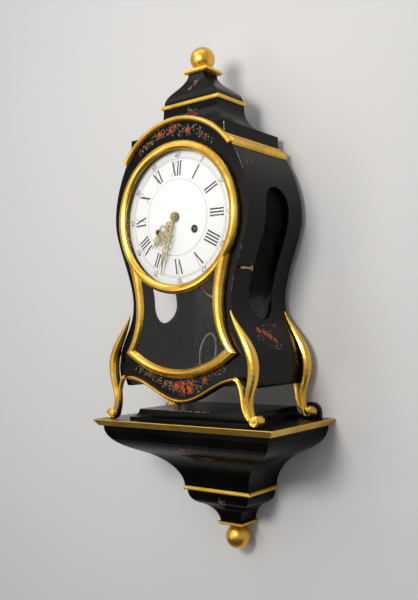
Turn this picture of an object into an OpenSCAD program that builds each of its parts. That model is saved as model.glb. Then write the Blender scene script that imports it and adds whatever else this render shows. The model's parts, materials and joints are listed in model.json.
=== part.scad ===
// Bracket clock: a waisted, lacquered case on four gilt cabriole legs, with a stepped
// hood and ball finial, standing on its matching wall bracket.
// X runs to the clock's right, Y into the wall (the wall is the plane Y = 0), Z up.
// The origin is on the wall, midway between the bracket's two hanging screws.

/* [Wall bracket] */
// Height of the bracket's top board above the hanging screws
board_rise = 30; // [28:1:36]
// Half the width of the top board
board_hw = 139.4; // [125:0.2:160]
// Depth of the top board from the wall
board_d = 142.9; // [138:0.1:170]
// Thickness of the top board
board_t = 8; // [7:0.5:12]
// Width of the gilt strip under the board's edge
edge_w = 9; // [6:0.5:14]
// Half width of the plinth that lies on the top board
plinth_hw = 93; // [80:1:98]
// Depth of the plinth from the wall
plinth_d = 122; // [100:1:130]
// Height of the plinth
plinth_h = 13; // [8:1:18]
// Half width at the gilt band between the two ogees
neck_hw = 50.6; // [44:0.2:60]
// Height of the upper ogee
upper_h = 82; // [70:1:110]
// Height of the gilt band
band_h = 5; // [3:0.5:8]
// How far the gilt band stands proud of the ogees
band_out = 2; // [1:0.5:4]
// Height of the lower ogee
lower_h = 43; // [30:1:60]
// Half width of the lower ogee at its foot
foot_hw = 16; // [13:0.5:20]
// Wall thickness of the bracket's ogee boxes
bracket_wall = 8; // [5:0.5:10]
// Distance between the two hanging screws
screw_span = 100; // [90:5:110]
// Radius of the screw eyes in the hanger plates
eye_r = 3; // [2:0.25:4]

/* [Clock case] */
// Half width of the case at its belly, beside the dial
belly_hw = 106.2; // [100:0.1:112]
// Height of the belly's widest point above the top board
belly_z = 254; // [250:1:258]
// Half width at the waist
waist_hw = 77.6; // [74:0.2:80]
// Half width of the flared base
base_hw = 104; // [100:0.5:108]
// Height of the dial's centre above the top board
dial_z = 251.4; // [249:0.2:255]
// Height of the case's bottom edge above the top board
case_z0 = 43.4; // [38:0.2:48]
// Front face of the case, measured from the wall
face_y = 127; // [122:0.5:132]
// Back face of the case, measured from the wall
back_y = 10; // [8:0.5:14]
// Thickness of the front and back panels
panel_t = 8; // [6:0.5:10]
// Thickness of the side panels
side_t = 7; // [5:0.5:9]
// Half width of the slot window in each side
slot_r = 25; // [18:0.5:28]
// Bottom of the slot window
slot_z0 = 123.5; // [118:0.5:130]
// Top of the slot window
slot_z1 = 283.5; // [270:0.5:290]
// Thickness of the case's window panes
pane_t = 2; // [1.5:0.1:3]
// Drop of the apron's middle below its shoulders
apron_drop = 28; // [20:1:32]

/* [Hood] */
// Half width of the attic box above the cornice
attic_hw = 75.5; // [70:0.5:78]
// Top of the attic box
attic_z = 358.8; // [350:0.2:366]
// Half width of the hood at its gilt band
hood_hw = 44.4; // [38:0.2:50]
// Height of the hood's lower cove
cove_h = 39.8; // [34:0.1:46]
// Height of the hood's upper ogee
hood_ogee_h = 38.9; // [30:0.1:46]
// Half width of the hood's gilt cap
cap_hw = 19.1; // [16:0.1:24]
// Radius of the ball finials
ball_r = 16; // [12:0.1:18]

/* [Door and dial] */
// Outer radius of the gilt dial ring
ring_r = 94.6; // [93:0.1:96]
// Inner radius of the gilt dial ring
ring_in = 82.2; // [80:0.1:83]
// How far the gilt door stands out from the case front
door_h = 8.2; // [7.5:0.1:10]
// Gap between the door's back and the case front
door_gap = 1.1; // [0.9:0.1:1.6]
// Width of the door's side bars
bar_w = 14.6; // [12:0.1:16]
// Radius of the dial
dial_r = 84.4; // [83:0.1:85]
// How far the enamel dial bulges towards the front
dial_bulge = 8; // [6:0.2:9]
// Radius of the winding holes
wind_hole_r = 5; // [4:0.1:6]
// Sideways distance of each winding hole from the dial's centre
wind_x = 28.2; // [26.5:0.1:29]
// Drop of the winding holes below the dial's centre
wind_drop = 17.2; // [14:0.1:19]
// Length of the hour hand
hour_len = 53; // [45:0.5:56]
// Length of the minute hand
minute_len = 76; // [70:0.5:79]
// Angle of the minute hand past twelve
minute_deg = 201; // [0:1:359]

/* [Movement] */
// Front face of the front plate, measured from the wall
plate_y = 101; // [99:0.5:103]
// Clear distance between the plates
plate_gap = 38; // [36:0.5:42]
// Thickness of each plate
plate_t = 2; // [1.5:0.1:3]
// Outer radius of the spring barrels
barrel_r = 22; // [18:0.5:22.5]
// Radius of the centre arbor
arbor_r = 1.5; // [1.2:0.05:1.8]
// Radial running clearance of arbors and pipes
run = 0.05; // [0.02:0.01:0.08]
// Radius of the balance wheel
balance_r = 9; // [7:0.5:10]
// Radius of the bell
bell_r = 27; // [22:0.5:30]

/* [Hidden] */
$fn = 64;

// Points on a cubic curve from a to d, pulled by b and c
function bezier(a, b, c, d, n = 12) = [for (i = [0:n]) let (t = i / n, s = 1 - t)
    s * s * s * a + 3 * s * s * t * b + 3 * s * t * t * c + t * t * t * d];
// Points on a circle about c, from angle a0 to a1
function arc(c, r, a0, a1, n = 24) = [for (i = [0:n]) let (a = a0 + (a1 - a0) * i / n)
    c + r * [cos(a), sin(a)]];
function mirrored(pts) = [for (i = [len(pts) - 1:-1:0]) [-pts[i][0], pts[i][1]]];
function shifted(pts, dx, dz) = [for (p = pts) [p[0] + dx, p[1] + dz]];
function reversed(pts) = [for (i = [len(pts) - 1:-1:0]) pts[i]];
// Value of a curve of [value, height] points at height z; the heights fall along the list
function at_height(pts, z, i = 0) = i >= len(pts) - 2 || pts[i + 1][1] <= z
    ? pts[i][0] + (pts[i + 1][0] - pts[i][0]) * (z - pts[i][1]) / (pts[i + 1][1] - pts[i][1])
    : at_height(pts, z, i + 1);

// A flat shape drawn in X and Z, made thick from the depth y0 to y1
module along_y(y0, y1) translate([0, y1, 0]) rotate([90, 0, 0]) linear_extrude(y1 - y0) children();
// A flat shape drawn in Y and Z, made thick from x0 to x1
module along_x(x0, x1) translate([x0, 0, 0]) rotate([90, 0, 90]) linear_extrude(x1 - x0) children();
// The board's top surface as ground level
module on_board() translate([0, 0, board_rise]) children();
// The dial's centre as origin
module at_dial() on_board() translate([0, 0, dial_z]) children();
// A round bar or disc along Y from the depth y0 to y1
module bar_y(r, y0, y1) translate([0, y1, 0]) rotate([90, 0, 0]) cylinder(r = r, h = y1 - y0);
module tube_y(r, bore, y0, y1) difference() {
    bar_y(r, y0, y1);
    bar_y(bore, y0 - 1, y1 + 1);
}
// Wall bracket

eave = 1.6;              // the black top's edge shows this much of the gilt strip
board_in = 1;            // upper ogee set in from the strip's foot
side_slope = 5.5;        // how far the strip tapers in
depth_ratio = 0.88;      // the front steps in a little less than the sides
upper_hw = board_hw - edge_w - board_in;
function bracket_depth(hw) = board_d - depth_ratio * (board_hw - hw);

upper_profile = concat(
    bezier([upper_hw, -board_t], [upper_hw, -board_t - 25], [upper_hw * 0.74, -board_t - 33],
        [upper_hw * 0.645, -board_t - 39.5], 10),
    [for (i = [1:10]) bezier([upper_hw * 0.645, -board_t - 39.5], [neck_hw + 15, -board_t - 49],
        [neck_hw + 1, -board_t - 65], [neck_hw, -board_t - upper_h], 10)[i]]);
band_z = -board_t - upper_h;
lower_z = band_z - band_h;
lower_profile = concat(
    bezier([neck_hw - 2.4, lower_z], [neck_hw - 2.6, lower_z - 13], [neck_hw - 11, lower_z - 17],
        [neck_hw - 18, lower_z - 19.5], 8),
    [for (i = [1:8]) bezier([neck_hw - 18, lower_z - 19.5], [foot_hw + 7, lower_z - 24],
        [foot_hw + 0.5, lower_z - 33], [foot_hw, lower_z - lower_h], 8)[i]]);
cap_z = lower_z - lower_h;
bracket_cap_hw = foot_hw + 3.7;
bracket_cap_h = 5.3;
board_ball_y = -bracket_depth(bracket_cap_hw) / 2;
dowel_r = 3;
dowel_gap = 0.1;
hanger_w = 26;
hanger_h = 25;
hanger_t = 2;
hanger_screw_r = 1.5;
hanger_screw_z = 8;

// A three sided moulded body with its flat back on the wall
module wall_body(profile) intersection() {
    along_y(-board_d, 0) polygon(concat(profile, mirrored(profile)));
    along_x(-board_hw, board_hw) polygon(concat(
        [for (p = profile) [-bracket_depth(p[0]), p[1]]],
        [[0, profile[len(profile) - 1][1]], [0, profile[0][1]]]));
}

// The strip's section: out from the edge and up from the board's underside
function edge_section() = [[0, 0], [-eave, 0], [-eave, -2], [-edge_w, -2], [-edge_w, -board_t],
    [-side_slope, -board_t]];

module bracket_top_board() color("#16130f") on_board() {
    wall_body([[board_hw - eave, 0], [board_hw - eave, -2]]);
    wall_body([[board_hw - edge_w, -2], [board_hw - edge_w, -board_t]]);
}

module bracket_edge_moulding() color("#c9962e") on_board() difference() {
    wall_body([[board_hw, 0], [board_hw, -0.8], [board_hw - side_slope, -board_t]]);
    wall_body([[board_hw - eave, 1], [board_hw - eave, -2]]);
    wall_body([[board_hw - edge_w, -1.9], [board_hw - edge_w, -board_t - 1]]);
}

plinth_top_hw = plinth_hw - 9;
plinth_profile = concat([[plinth_hw, 0], [plinth_hw, 3.4]],
        bezier([plinth_hw - 1.2, 3.6], [plinth_top_hw + 3, 4.4], [plinth_top_hw + 1, 6],
            [plinth_top_hw, plinth_h - 1.5], 6), [[plinth_top_hw, plinth_h]]);
module bracket_plinth() color("#16130f") on_board() intersection() {
    along_y(-plinth_d, 0) polygon(concat(plinth_profile, mirrored(plinth_profile)));
    along_x(-plinth_hw, plinth_hw) polygon(concat(
        [for (p = plinth_profile) [-plinth_d + plinth_hw - p[0], p[1]]], [[0, plinth_h], [0, 0]]));
}

// Two black blocks on the board that keep the clock's back feet off the wall
spacer_t = 6;
spacer_h = 19;
spacer_in = base_hw - 7;     // in line with the legs above
spacer_out = base_hw + 17;
module wall_spacers() color("#16130f") on_board() difference() {
    for (s = [0, 1]) mirror([s, 0, 0]) along_y(-spacer_t, 0) polygon(concat([[spacer_in, 0],
        [spacer_out, 0]], arc([spacer_out - 12, spacer_h - 12], 12, 0, 90, 8), [[spacer_in, spacer_h]]));
    along_y(-plinth_d, 1) polygon(concat(plinth_profile, mirrored(plinth_profile)));
}

back_board_t = 7;
hollow_top = -board_t - 6;
hollow_foot = band_z + bracket_wall;
hollow_profile = [for (i = [0:12]) let (z = hollow_top + (hollow_foot - hollow_top) * i / 12)
    [at_height(upper_profile, z) - bracket_wall, z]];
// The hollow behind the upper ogee, open at the back
module upper_hollow(back) intersection() {
    along_y(-board_d, back) polygon(concat(hollow_profile, mirrored(hollow_profile)));
    along_x(-board_hw, board_hw) polygon(concat(
        [for (p = hollow_profile) [-bracket_depth(p[0] + bracket_wall) + bracket_wall, p[1]]],
        [[back, hollow_foot], [back, hollow_top]]));
}

module bracket_upper_body() color("#16130f") on_board() difference() {
    wall_body(upper_profile);
    upper_hollow(1);
}

// The board that closes the hollow, flush with the wall face; the hanger plates are let in
module bracket_back_board() color("#5b3d22") difference() {
    on_board() intersection() {
        upper_hollow(0);
        along_y(-back_board_t, 0) square([2 * board_hw, 4 * upper_h], center = true);
    }
    for (s = [-1, 1]) translate([s * screw_span / 2, 0, 0]) {
        along_y(-hanger_t, 1) square([hanger_w, hanger_h], center = true);
        bar_y(eye_r + 3, -back_board_t - 1, 0);
        for (e = [-1, 1]) translate([0, 0, e * hanger_screw_z])
            bar_y(hanger_screw_r, -back_board_t - 1, 0);
    }
}

screw_head_r = 2.8;
screw_head_t = 1;
module bracket_hangers() color("#8a8d90") for (s = [-1, 1]) translate([s * screw_span / 2, 0, 0])
    difference() {
        along_y(-hanger_t, 0) square([hanger_w, hanger_h], center = true);
        bar_y(eye_r, -hanger_t - 1, 1);
        for (e = [-1, 1]) translate([0, 0, e * hanger_screw_z]) {
            bar_y(hanger_screw_r + 0.1, -hanger_t - 1, 1);
            bar_y(screw_head_r + 0.1, -screw_head_t - 0.2, 1);
        }
    }

module hanger_screws() color("#b9bcbf") for (s = [-1, 1], e = [-1, 1])
    translate([s * screw_span / 2, 0, e * hanger_screw_z]) {
        bar_y(hanger_screw_r, -back_board_t, -0.2 - screw_head_t / 2);
        bar_y(screw_head_r, -0.2 - screw_head_t, -0.2);
    }

module bracket_band() color("#c9962e") on_board()
    wall_body([[neck_hw + band_out - 1, band_z], [neck_hw + band_out, band_z - 1.5],
        [neck_hw + band_out, band_z - band_h + 1.5], [neck_hw + band_out - 1, band_z - band_h]]);

module bracket_lower_body() color("#16130f") on_board() wall_body(lower_profile);

module bracket_cap() color("#c9962e") on_board() difference() {
    wall_body([[bracket_cap_hw, cap_z], [bracket_cap_hw, cap_z - 1.4],
        [bracket_cap_hw - 3, cap_z - bracket_cap_h + 1], [bracket_cap_hw - 7, cap_z - bracket_cap_h]]);
    translate([0, board_ball_y, cap_z - bracket_cap_h - 1])
        cylinder(r = dowel_r + dowel_gap, h = bracket_cap_h);
}

// A turned ball with a flat seat and the dowel that holds it; it points up from z = 0
module finial(dowel) {
    difference() {
        translate([0, 0, ball_r - 0.5]) sphere(r = ball_r);
        translate([0, 0, -ball_r]) cylinder(r = ball_r, h = ball_r);
    }
    translate([0, 0, -dowel]) cylinder(r = dowel_r, h = dowel + 1);
}

module bracket_ball() color("#d9a93c") on_board()
    translate([0, board_ball_y, cap_z - bracket_cap_h]) mirror([0, 0, 1]) finial(bracket_cap_h - 1.6);

// Clock case

arch_c = 270;            // height of the arch's centre
arch_r = 106;            // outer radius of the arch moulding
arch_w = 6.6;            // width of the arch moulding
arch_panel_r = arch_r - 2;
cornice_z = 328;
cornice_h = 14.4;
shoulder_z = arch_c + sqrt(arch_panel_r * arch_panel_r - 81 * 81);
// The case's right outline from the shoulder down to its bottom edge
outline = concat(
    bezier([81, shoulder_z], [belly_hw - 7.7, belly_z + 51], [belly_hw, belly_z + 28],
        [belly_hw, belly_z], 14),
    [for (i = [1:16]) bezier([belly_hw, belly_z], [belly_hw, belly_z - 28], [waist_hw + 1, 183],
        [waist_hw, 149], 16)[i]],
    [for (i = [1:14]) bezier([waist_hw, 149], [waist_hw, 112], [base_hw - 4, 108],
        [base_hw, 68], 14)[i]],
    [for (i = [1:6]) bezier([base_hw, 68], [base_hw, 58], [base_hw - 3, 48],
        [base_hw - 6, case_z0], 6)[i]]);
function case_hw(z) = at_height(outline, z);

apron_span = 86;         // half the width of the apron's wave
// Lower edge of the apron: a wave with its lowest point in the middle
function apron_z(x) = case_z0 + 8 - apron_drop / 2 * (1 + cos(180 * x / apron_span)) + 0.6;
apron_edge = [for (i = [-16:16]) let (x = apron_span * i / 16) [x, apron_z(x)]];
arch_half = asin((shoulder_z - arch_c) / arch_panel_r);

// Openings behind the door
opening_r = 86;
window_gap = 3.6;
bar_top_z = dial_z - 26;
bar_x = 68.2;            // half width of the door where its bars come closest
door_outer = concat(
    bezier([88, bar_top_z], [79.4, bar_top_z - 28.7], [bar_x + 0.1, 168], [bar_x, 143], 12),
    [for (i = [1:8]) bezier([bar_x, 143], [bar_x, 118], [76, 98], [88, 84.4], 8)[i]]);
door_inner = concat(
    bezier([67, bar_top_z], [61, bar_top_z - 28.7], [bar_x - bar_w, 170], [bar_x - bar_w, 143], 12),
    [for (i = [1:8]) bezier([bar_x - bar_w, 143], [bar_x - bar_w, 122], [60, 104],
        [70, 89.4], 8)[i]]);
// The bowed bottom rail: circles through the corners and the rail's middle
rail_out_r = 142.6;
rail_in_r = 113;
rail_out = arc([0, 54 + rail_out_r], rail_out_r, -90 + asin(88 / rail_out_r),
    -90 - asin(88 / rail_out_r), 24);
rail_in = arc([0, 66.4 + rail_in_r], rail_in_r, -90 + asin(70 / rail_in_r),
    -90 - asin(70 / rail_in_r), 24);
// The window between the ring and the rail, widened by w on every side
module window_shape(w) polygon(concat(shifted(door_inner, w, 0), [for (p = rail_in) p - [0, w]],
    mirrored(shifted(door_inner, w, 0))));

module case_outline(grow = 0) polygon(concat(
    [for (p = outline) p + [grow, 0]],
    [for (p = mirrored(outline)) p - [grow, 0]]));

arch_exit = acos(attic_hw / arch_panel_r);
arch_entry = asin((attic_z - arch_c) / arch_panel_r);
// Right half of the front panel's outline, from the middle of the arch down to the apron
panel_half = concat(arc([0, arch_c], arch_panel_r, 90, arch_entry, 10), [[attic_hw, attic_z]],
    arc([0, arch_c], arch_panel_r, arch_exit, arch_half, 3),
    [for (p = outline) if (p[1] < shoulder_z - 0.5 && p[1] > apron_z(apron_span) + 0.5) p],
    [[case_hw(apron_z(apron_span)), apron_z(apron_span)]]);
module front_outline() polygon(concat(panel_half, reversed(apron_edge), mirrored(panel_half)));

keeper_x = 68;
keeper_t = 2;
keeper_h = 5;
keeper_len = 14.6;
catch_z = 184;
module case_front_panel() color("#16130f") on_board() difference() {
    along_y(-face_y, -face_y + panel_t) front_outline();
    translate([0, 0, dial_z]) bar_y(opening_r, -face_y - 1, -face_y + panel_t + 1);
    along_y(-face_y - 1, -face_y + panel_t + 1) window_shape(window_gap);
    // Slot for the door's keeper
    along_y(-face_y - 1, -face_y + panel_t + 1) translate([keeper_x - 2.2, catch_z - 3.6])
        square([9, 7.2]);
    // Groove in the back for the nose of the catch as it swings out
    translate([keeper_x - 2.2, -face_y + panel_t - nose_room, catch_z - nose_h / 2 - 0.4])
        cube([40, nose_room + 1, nose_h + 0.8]);
    // Mortises for the hinges' fixed leaves
    for (z = hinge_zs) translate([hinge_x - 1.4, -face_y - 1, z - leaf_h / 2])
        cube([leaf_w, 1 + leaf_t, leaf_h]);
}

slot_y = 2.5 - (face_y + back_y) / 2;
module slot_shape(grow) {
    translate([slot_y, slot_z0 + slot_r]) circle(r = slot_r + grow);
    translate([slot_y, slot_z1 - slot_r]) circle(r = slot_r + grow);
    translate([slot_y - slot_r - grow, slot_z0 + slot_r])
        square([2 * (slot_r + grow), slot_z1 - slot_z0 - 2 * slot_r]);
}

pane_rebate = 3;
side_edge = concat([[case_hw(cornice_z), cornice_z]],
    [for (p = outline) if (p[1] < cornice_z - 0.5) p]);
// The curved side board, between depths d0 and d1 in from the case's outline
module side_skin(d0, d1) polygon(concat(shifted(side_edge, -d0, 0),
    reversed(shifted(side_edge, -d1, 0))));

module right_side() difference() {
    along_y(-face_y + panel_t, -back_y - panel_t) side_skin(0, side_t);
    along_x(0, 150) slot_shape(0);
    // Rebate for the pane on the inside
    intersection() {
        along_x(0, 150) slot_shape(pane_rebate);
        along_y(-face_y, 0) side_skin(side_t - pane_t, side_t + 5);
    }
}

module case_left_side() color("#16130f") on_board() mirror([1, 0, 0]) right_side();

nose_w = 2.2;
nose_h = 2.6;
nose_room = 4;           // the nose comes this far forward when the catch is open
module case_right_side() color("#16130f") on_board() difference() {
    right_side();
    translate([case_hw(catch_z) - side_t - 4, -face_y + panel_t - 1, catch_z - nose_h / 2 - 0.4])
        cube([side_t + 8, nose_w + 2.4, nose_h + 0.8]);
}

module side_panes() color([0.75, 0.85, 0.88, 0.35]) on_board() for (s = [0, 1]) mirror([s, 0, 0])
    intersection() {
        along_x(0, 150) slot_shape(pane_rebate - 0.2);
        along_y(-face_y, 0) side_skin(side_t - pane_t + 0.1, side_t - 0.1);
    }

module case_back_board() color("#16130f") on_board()
    along_y(-back_y - panel_t, -back_y) difference() {
        case_outline();
        translate([-150, cornice_z]) square([300, 60]);
    }

floor_t = 8;
module case_floor() color("#5b3d22") on_board()
    along_y(-face_y + panel_t, -back_y - panel_t) intersection() {
        case_outline(-side_t);
        translate([-150, case_z0 + 2]) square([300, floor_t]);
    }

// Room for the dial's board behind the front panel
module dial_board_room() translate([0, 0, dial_z])
    bar_y(dial_board_r + 0.2, -face_y + panel_t - 1, -face_y + panel_t + dial_board_t + 0.1);
module case_top_board() color("#16130f") on_board() difference() {
    along_y(-face_y + panel_t, -back_y) translate([-attic_hw + 2, cornice_z])
        square([2 * (attic_hw - 2), cornice_h]);
    dial_board_room();
}

attic_back_y = back_y + 2.7;
module attic() color("#16130f") on_board() difference() {
    along_y(-face_y + panel_t, -attic_back_y) translate([-attic_hw, cornice_z + cornice_h])
        square([2 * attic_hw, attic_z - cornice_z - cornice_h]);
    along_y(-face_y + panel_t + 8, -attic_back_y - 8) translate([-attic_hw + 8, cornice_z + 2])
        square([2 * (attic_hw - 8), attic_z - cornice_z - 10]);
    dial_board_room();
}

// A half round moulding lofted between two matching curves drawn in X and Z. It stands
// out by h from the plane y and has a flat back. The sections keep their order.
module moulding(outer, inner, y, h, sides = 6) {
    n = len(outer);
    k = sides + 1;
    pts = [for (i = [0:n - 1], j = [0:sides]) let (a = 180 * j / sides, m = (1 - cos(a)) / 2,
        p = outer[i] + (inner[i] - outer[i]) * m) [p[0], y - h * pow(sin(a), 0.8), p[1]]];
    walls = [for (i = [0:n - 2], j = [0:sides]) let (a = i * k + j, b = i * k + (j + 1) % k,
        c = (i + 1) * k + j, d = (i + 1) * k + (j + 1) % k) each [[a, b, c], [b, d, c]]];
    polyhedron(pts, concat(walls, [[for (j = [sides:-1:0]) j]], [[for (j = [0:sides]) (n - 1) * k + j]]));
}

arch_end = 35.5;         // angle at which the arch moulding meets the cornice
module arch_moulding() color("#c9962e") on_board()
    moulding(arc([0, arch_c], arch_r, arch_end, 180 - arch_end, 36),
        arc([0, arch_c], arch_r - arch_w, arch_end, 180 - arch_end, 36), -face_y, 6.5);

module cornice_moulding() color("#c9962e") on_board() for (s = [0, 1]) mirror([s, 0, 0])
    difference() {
        along_y(-face_y, -back_y + 0.4) polygon([[attic_hw - 2, cornice_z],
            [attic_hw + 9.5, cornice_z], [attic_hw + 11.3, cornice_z + 2.4],
            [attic_hw + 11.3, cornice_z + 6.4], [attic_hw + 9.8, cornice_z + 8.2],
            [attic_hw + 6.8, cornice_z + 9.4], [attic_hw + 3.6, cornice_z + 12.4],
            [attic_hw + 2.6, cornice_z + cornice_h], [attic_hw - 2, cornice_z + cornice_h]]);
        along_y(-face_y - 1, -face_y + panel_t) front_outline();
    }

apron_w = 5.6;
module apron_moulding() color("#c9962e") on_board()
    moulding(apron_edge, shifted(apron_edge, 0, apron_w), -face_y, 5);

// Hood

hood_front = face_y - 28.6; // distance of the hood's band from the wall, front
hood_back = back_y + 31.5; // and back
hood_step_f = 0.42;      // the front steps in by this share of the side's step above the band
function hood_yf(hw) = hw > hood_hw ? max(-face_y + panel_t, -hood_front - (hw - hood_hw) * 0.86)
    : -hood_front + (hood_hw - hw) * hood_step_f;
function hood_yb(hw) = hw > hood_hw ? -hood_back + (hw - hood_hw) * 0.86
    : -hood_back - (hood_hw - hw) * hood_step_f;
module hood_body(profile) intersection() {
    along_y(-face_y - 20, 20) polygon(concat(profile, mirrored(profile)));
    along_x(-100, 100) polygon(concat([for (p = profile) [hood_yf(p[0]), p[1]]],
        [for (p = reversed(profile)) [hood_yb(p[0]), p[1]]]));
}

hood_band_h = 5;
cove_top_z = attic_z + cove_h;
ogee_z = cove_top_z + hood_band_h;
hood_cap_z = ogee_z + hood_ogee_h;
hood_cap_h = 5.4;
hood_ball_y = (hood_yf(cap_hw) + hood_yb(cap_hw)) / 2;
cove_profile = concat([[hood_hw + 27, attic_z], [hood_hw + 27, attic_z + 0.8]],
    bezier([hood_hw + 26.5, attic_z + 1], [hood_hw + 12, attic_z + 6], [hood_hw + 2, attic_z + 17],
        [hood_hw, attic_z + 30], 10), [[hood_hw - 0.6, cove_top_z]]);
ogee_profile = concat(bezier([hood_hw - 1.6, ogee_z], [hood_hw - 1, ogee_z + 9],
        [hood_hw - 9, ogee_z + 14], [hood_hw - 16, ogee_z + 19], 8),
    [for (i = [1:8]) bezier([hood_hw - 16, ogee_z + 19], [hood_hw - 25, ogee_z + 25],
        [cap_hw - 6.5, ogee_z + 31], [cap_hw - 7.5, hood_cap_z], 8)[i]]);

module hood_cove() color("#16130f") on_board() hood_body(cove_profile);

module hood_band() color("#c9962e") on_board() hood_body([[hood_hw + 1.2, cove_top_z],
    [hood_hw + 2.2, cove_top_z + 1.4], [hood_hw + 2.2, cove_top_z + 3.6], [hood_hw + 1.2, ogee_z]]);

module hood_ogee() color("#16130f") on_board() hood_body(ogee_profile);

module hood_cap() color("#c9962e") on_board() difference() {
    hood_body([[cap_hw - 4, hood_cap_z], [cap_hw - 0.6, hood_cap_z + 1.8],
        [cap_hw, hood_cap_z + 3.4], [cap_hw - 0.8, hood_cap_z + hood_cap_h]]);
    translate([0, hood_ball_y, hood_cap_z + 1.6]) cylinder(r = dowel_r + dowel_gap, h = hood_cap_h);
}

module hood_ball() color("#d9a93c") on_board()
    translate([0, hood_ball_y, hood_cap_z + hood_cap_h]) finial(hood_cap_h - 2.4);

// Legs

volute_out = 8.3;        // the scroll's middle stands out from the base by this
volute_x = base_hw + volute_out;
volute_path_r = 6.2;
foot_gap = 0.3;          // the feet stand on the board; the two stay this far apart here
volute_r = volute_path_r + 2.65 + foot_gap; // height of the volute's centre: it stands on its lowest turn
drum_r = 6.6;            // radius of the rolled end inside the scroll
leg_depth = 6.8;         // half depth of a leg along Y
leg_y = face_y + 4.6;    // middle of the front legs, measured from the wall
back_leg_y = back_y + 5; // middle of the back legs
leg_tip_z = 134;         // height of a leg's pointed upper end
// Middle line of the right leg from its tip down to the ankle, then round the volute
leg_path = concat(
    bezier([waist_hw + 2.2, leg_tip_z], [waist_hw + 8, 113], [base_hw + 5.4, 94], [base_hw + 5.4, 68], 12),
    [for (i = [1:8]) bezier([base_hw + 5.4, 68], [base_hw + 5.4, 48], [base_hw - 2.6, 40],
        [base_hw - 1.4, 24], 8)[i]],
    [for (i = [1:4]) bezier([base_hw - 1.4, 24], [base_hw - 1, 18], [base_hw + 0.6, 14],
        [volute_x - volute_path_r, volute_r], 4)[i]],
    [for (i = [1:12]) let (a = 180 + 200 * i / 12) [volute_x, volute_r]
        + volute_path_r * [cos(a), sin(a)]]);
leg_n = len(leg_path);
// Radius along the leg: a point at the top, full at the knee, slim at the ankle
function leg_r(i) = i <= 12 ? 0.5 + 6.2 * sin(90 * i / 12)
    : i <= 20 ? 6.7 - 2.9 * (i - 12) / 8
    : i <= 24 ? 3.8 - 0.3 * (i - 20) / 4
    : 3.5 - 1.9 * (i - 24) / 12;
function leg_half(i) = i <= 12 ? min(leg_depth, leg_r(i) * 1.1) : leg_depth;
function leg_dir(i) = let (a = leg_path[max(i - 1, 0)], b = leg_path[min(i + 1, leg_n - 1)])
    (b - a) / norm(b - a);
leg_sides = 12;

// The strand that leaves the apron's moulding and runs down the leg's inner side
strand_r = 3;
strand_path = concat(
    bezier([apron_span, apron_z(apron_span) + strand_r], [apron_span + 7, apron_z(apron_span) + strand_r],
        [base_hw - 8.4, 42], [base_hw - 7.4, 31], 8),
    [for (i = [1:5]) bezier([base_hw - 7.4, 31], [base_hw - 6.8, 22], [base_hw - 4, 15],
        [base_hw + 1, 10], 5)[i]]);
module strand_sweep() {
    n = len(strand_path);
    k = 8;
    pts = [for (i = [0:n - 1], j = [0:k - 1]) let (a = 360 * j / k + 22.5,
        p = strand_path[max(i - 1, 0)], q = strand_path[min(i + 1, n - 1)], d = (q - p) / norm(q - p))
        [strand_path[i][0] + d[1] * strand_r * cos(a), strand_r * sin(a),
            strand_path[i][1] - d[0] * strand_r * cos(a)]];
    walls = [for (i = [0:n - 2], j = [0:k - 1]) let (a = i * k + j, b = i * k + (j + 1) % k)
        each [[a, a + k, b], [b, a + k, b + k]]];
    polyhedron(pts, concat(walls, [[for (j = [0:k - 1]) j]], [[for (j = [k - 1:-1:0]) (n - 1) * k + j]]));
}

module leg_sweep() {
    pts = [for (i = [0:leg_n - 1], j = [0:leg_sides - 1]) let (a = 360 * j / leg_sides,
        d = leg_dir(i), r = leg_r(i), w = leg_half(i))
        [leg_path[i][0] + d[1] * r * cos(a), w * sin(a), leg_path[i][1] - d[0] * r * cos(a)]];
    walls = [for (i = [0:leg_n - 2], j = [0:leg_sides - 1]) let (a = i * leg_sides + j,
        b = i * leg_sides + (j + 1) % leg_sides) each [[a, a + leg_sides, b], [b, a + leg_sides,
        b + leg_sides]]];
    polyhedron(pts, concat(walls, [[for (j = [0:leg_sides - 1]) j]],
        [[for (j = [leg_sides - 1:-1:0]) (leg_n - 1) * leg_sides + j]]));
}

module leg(y, y_back) translate([0, -y, 0]) difference() {
    union() {
        leg_sweep();
        translate([0, -leg_depth + strand_r, 0]) strand_sweep();
        // The rolled end: a crowned drum with a raised eye on each face
        translate([volute_x, 0, volute_r]) rotate([90, 0, 0]) rotate_extrude($fn = 32) polygon([
            [0, -leg_depth - 1], [1.6, -leg_depth - 0.8], [2.6, -leg_depth + 0.2], [drum_r - 1.8, -leg_depth + 0.4],
            [drum_r - 0.4, -leg_depth + 1.8], [drum_r, 0], [drum_r - 0.4, leg_depth - 1.8],
            [drum_r - 1.8, leg_depth - 0.4], [2.6, leg_depth - 0.2], [1.6, leg_depth + 0.8], [0, leg_depth + 1]]);
    }
    translate([0, y, 0]) along_y(-face_y, y_back) case_outline();
}

// Room for the lower hinge beside the left front leg
hinge_room = 0.4;
module front_legs() color("#c9962e") on_board() {
    leg(leg_y, -back_y);
    difference() {
        mirror([1, 0, 0]) leg(leg_y, -back_y);
        translate([hinge_x - knuckle_r - hinge_room, hinge_y - knuckle_r - 9, hinge_zs[1] - leaf_h / 2 - hinge_room])
            cube([knuckle_r + hinge_room + strap_lens[1], knuckle_r + 9 - face_y - hinge_y + 2,
                leaf_h + 2 * hinge_room]);
    }
}
module back_legs() color("#c9962e") on_board() for (s = [0, 1]) mirror([s, 0, 0])
    leg(back_leg_y, 10);

// Door

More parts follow.
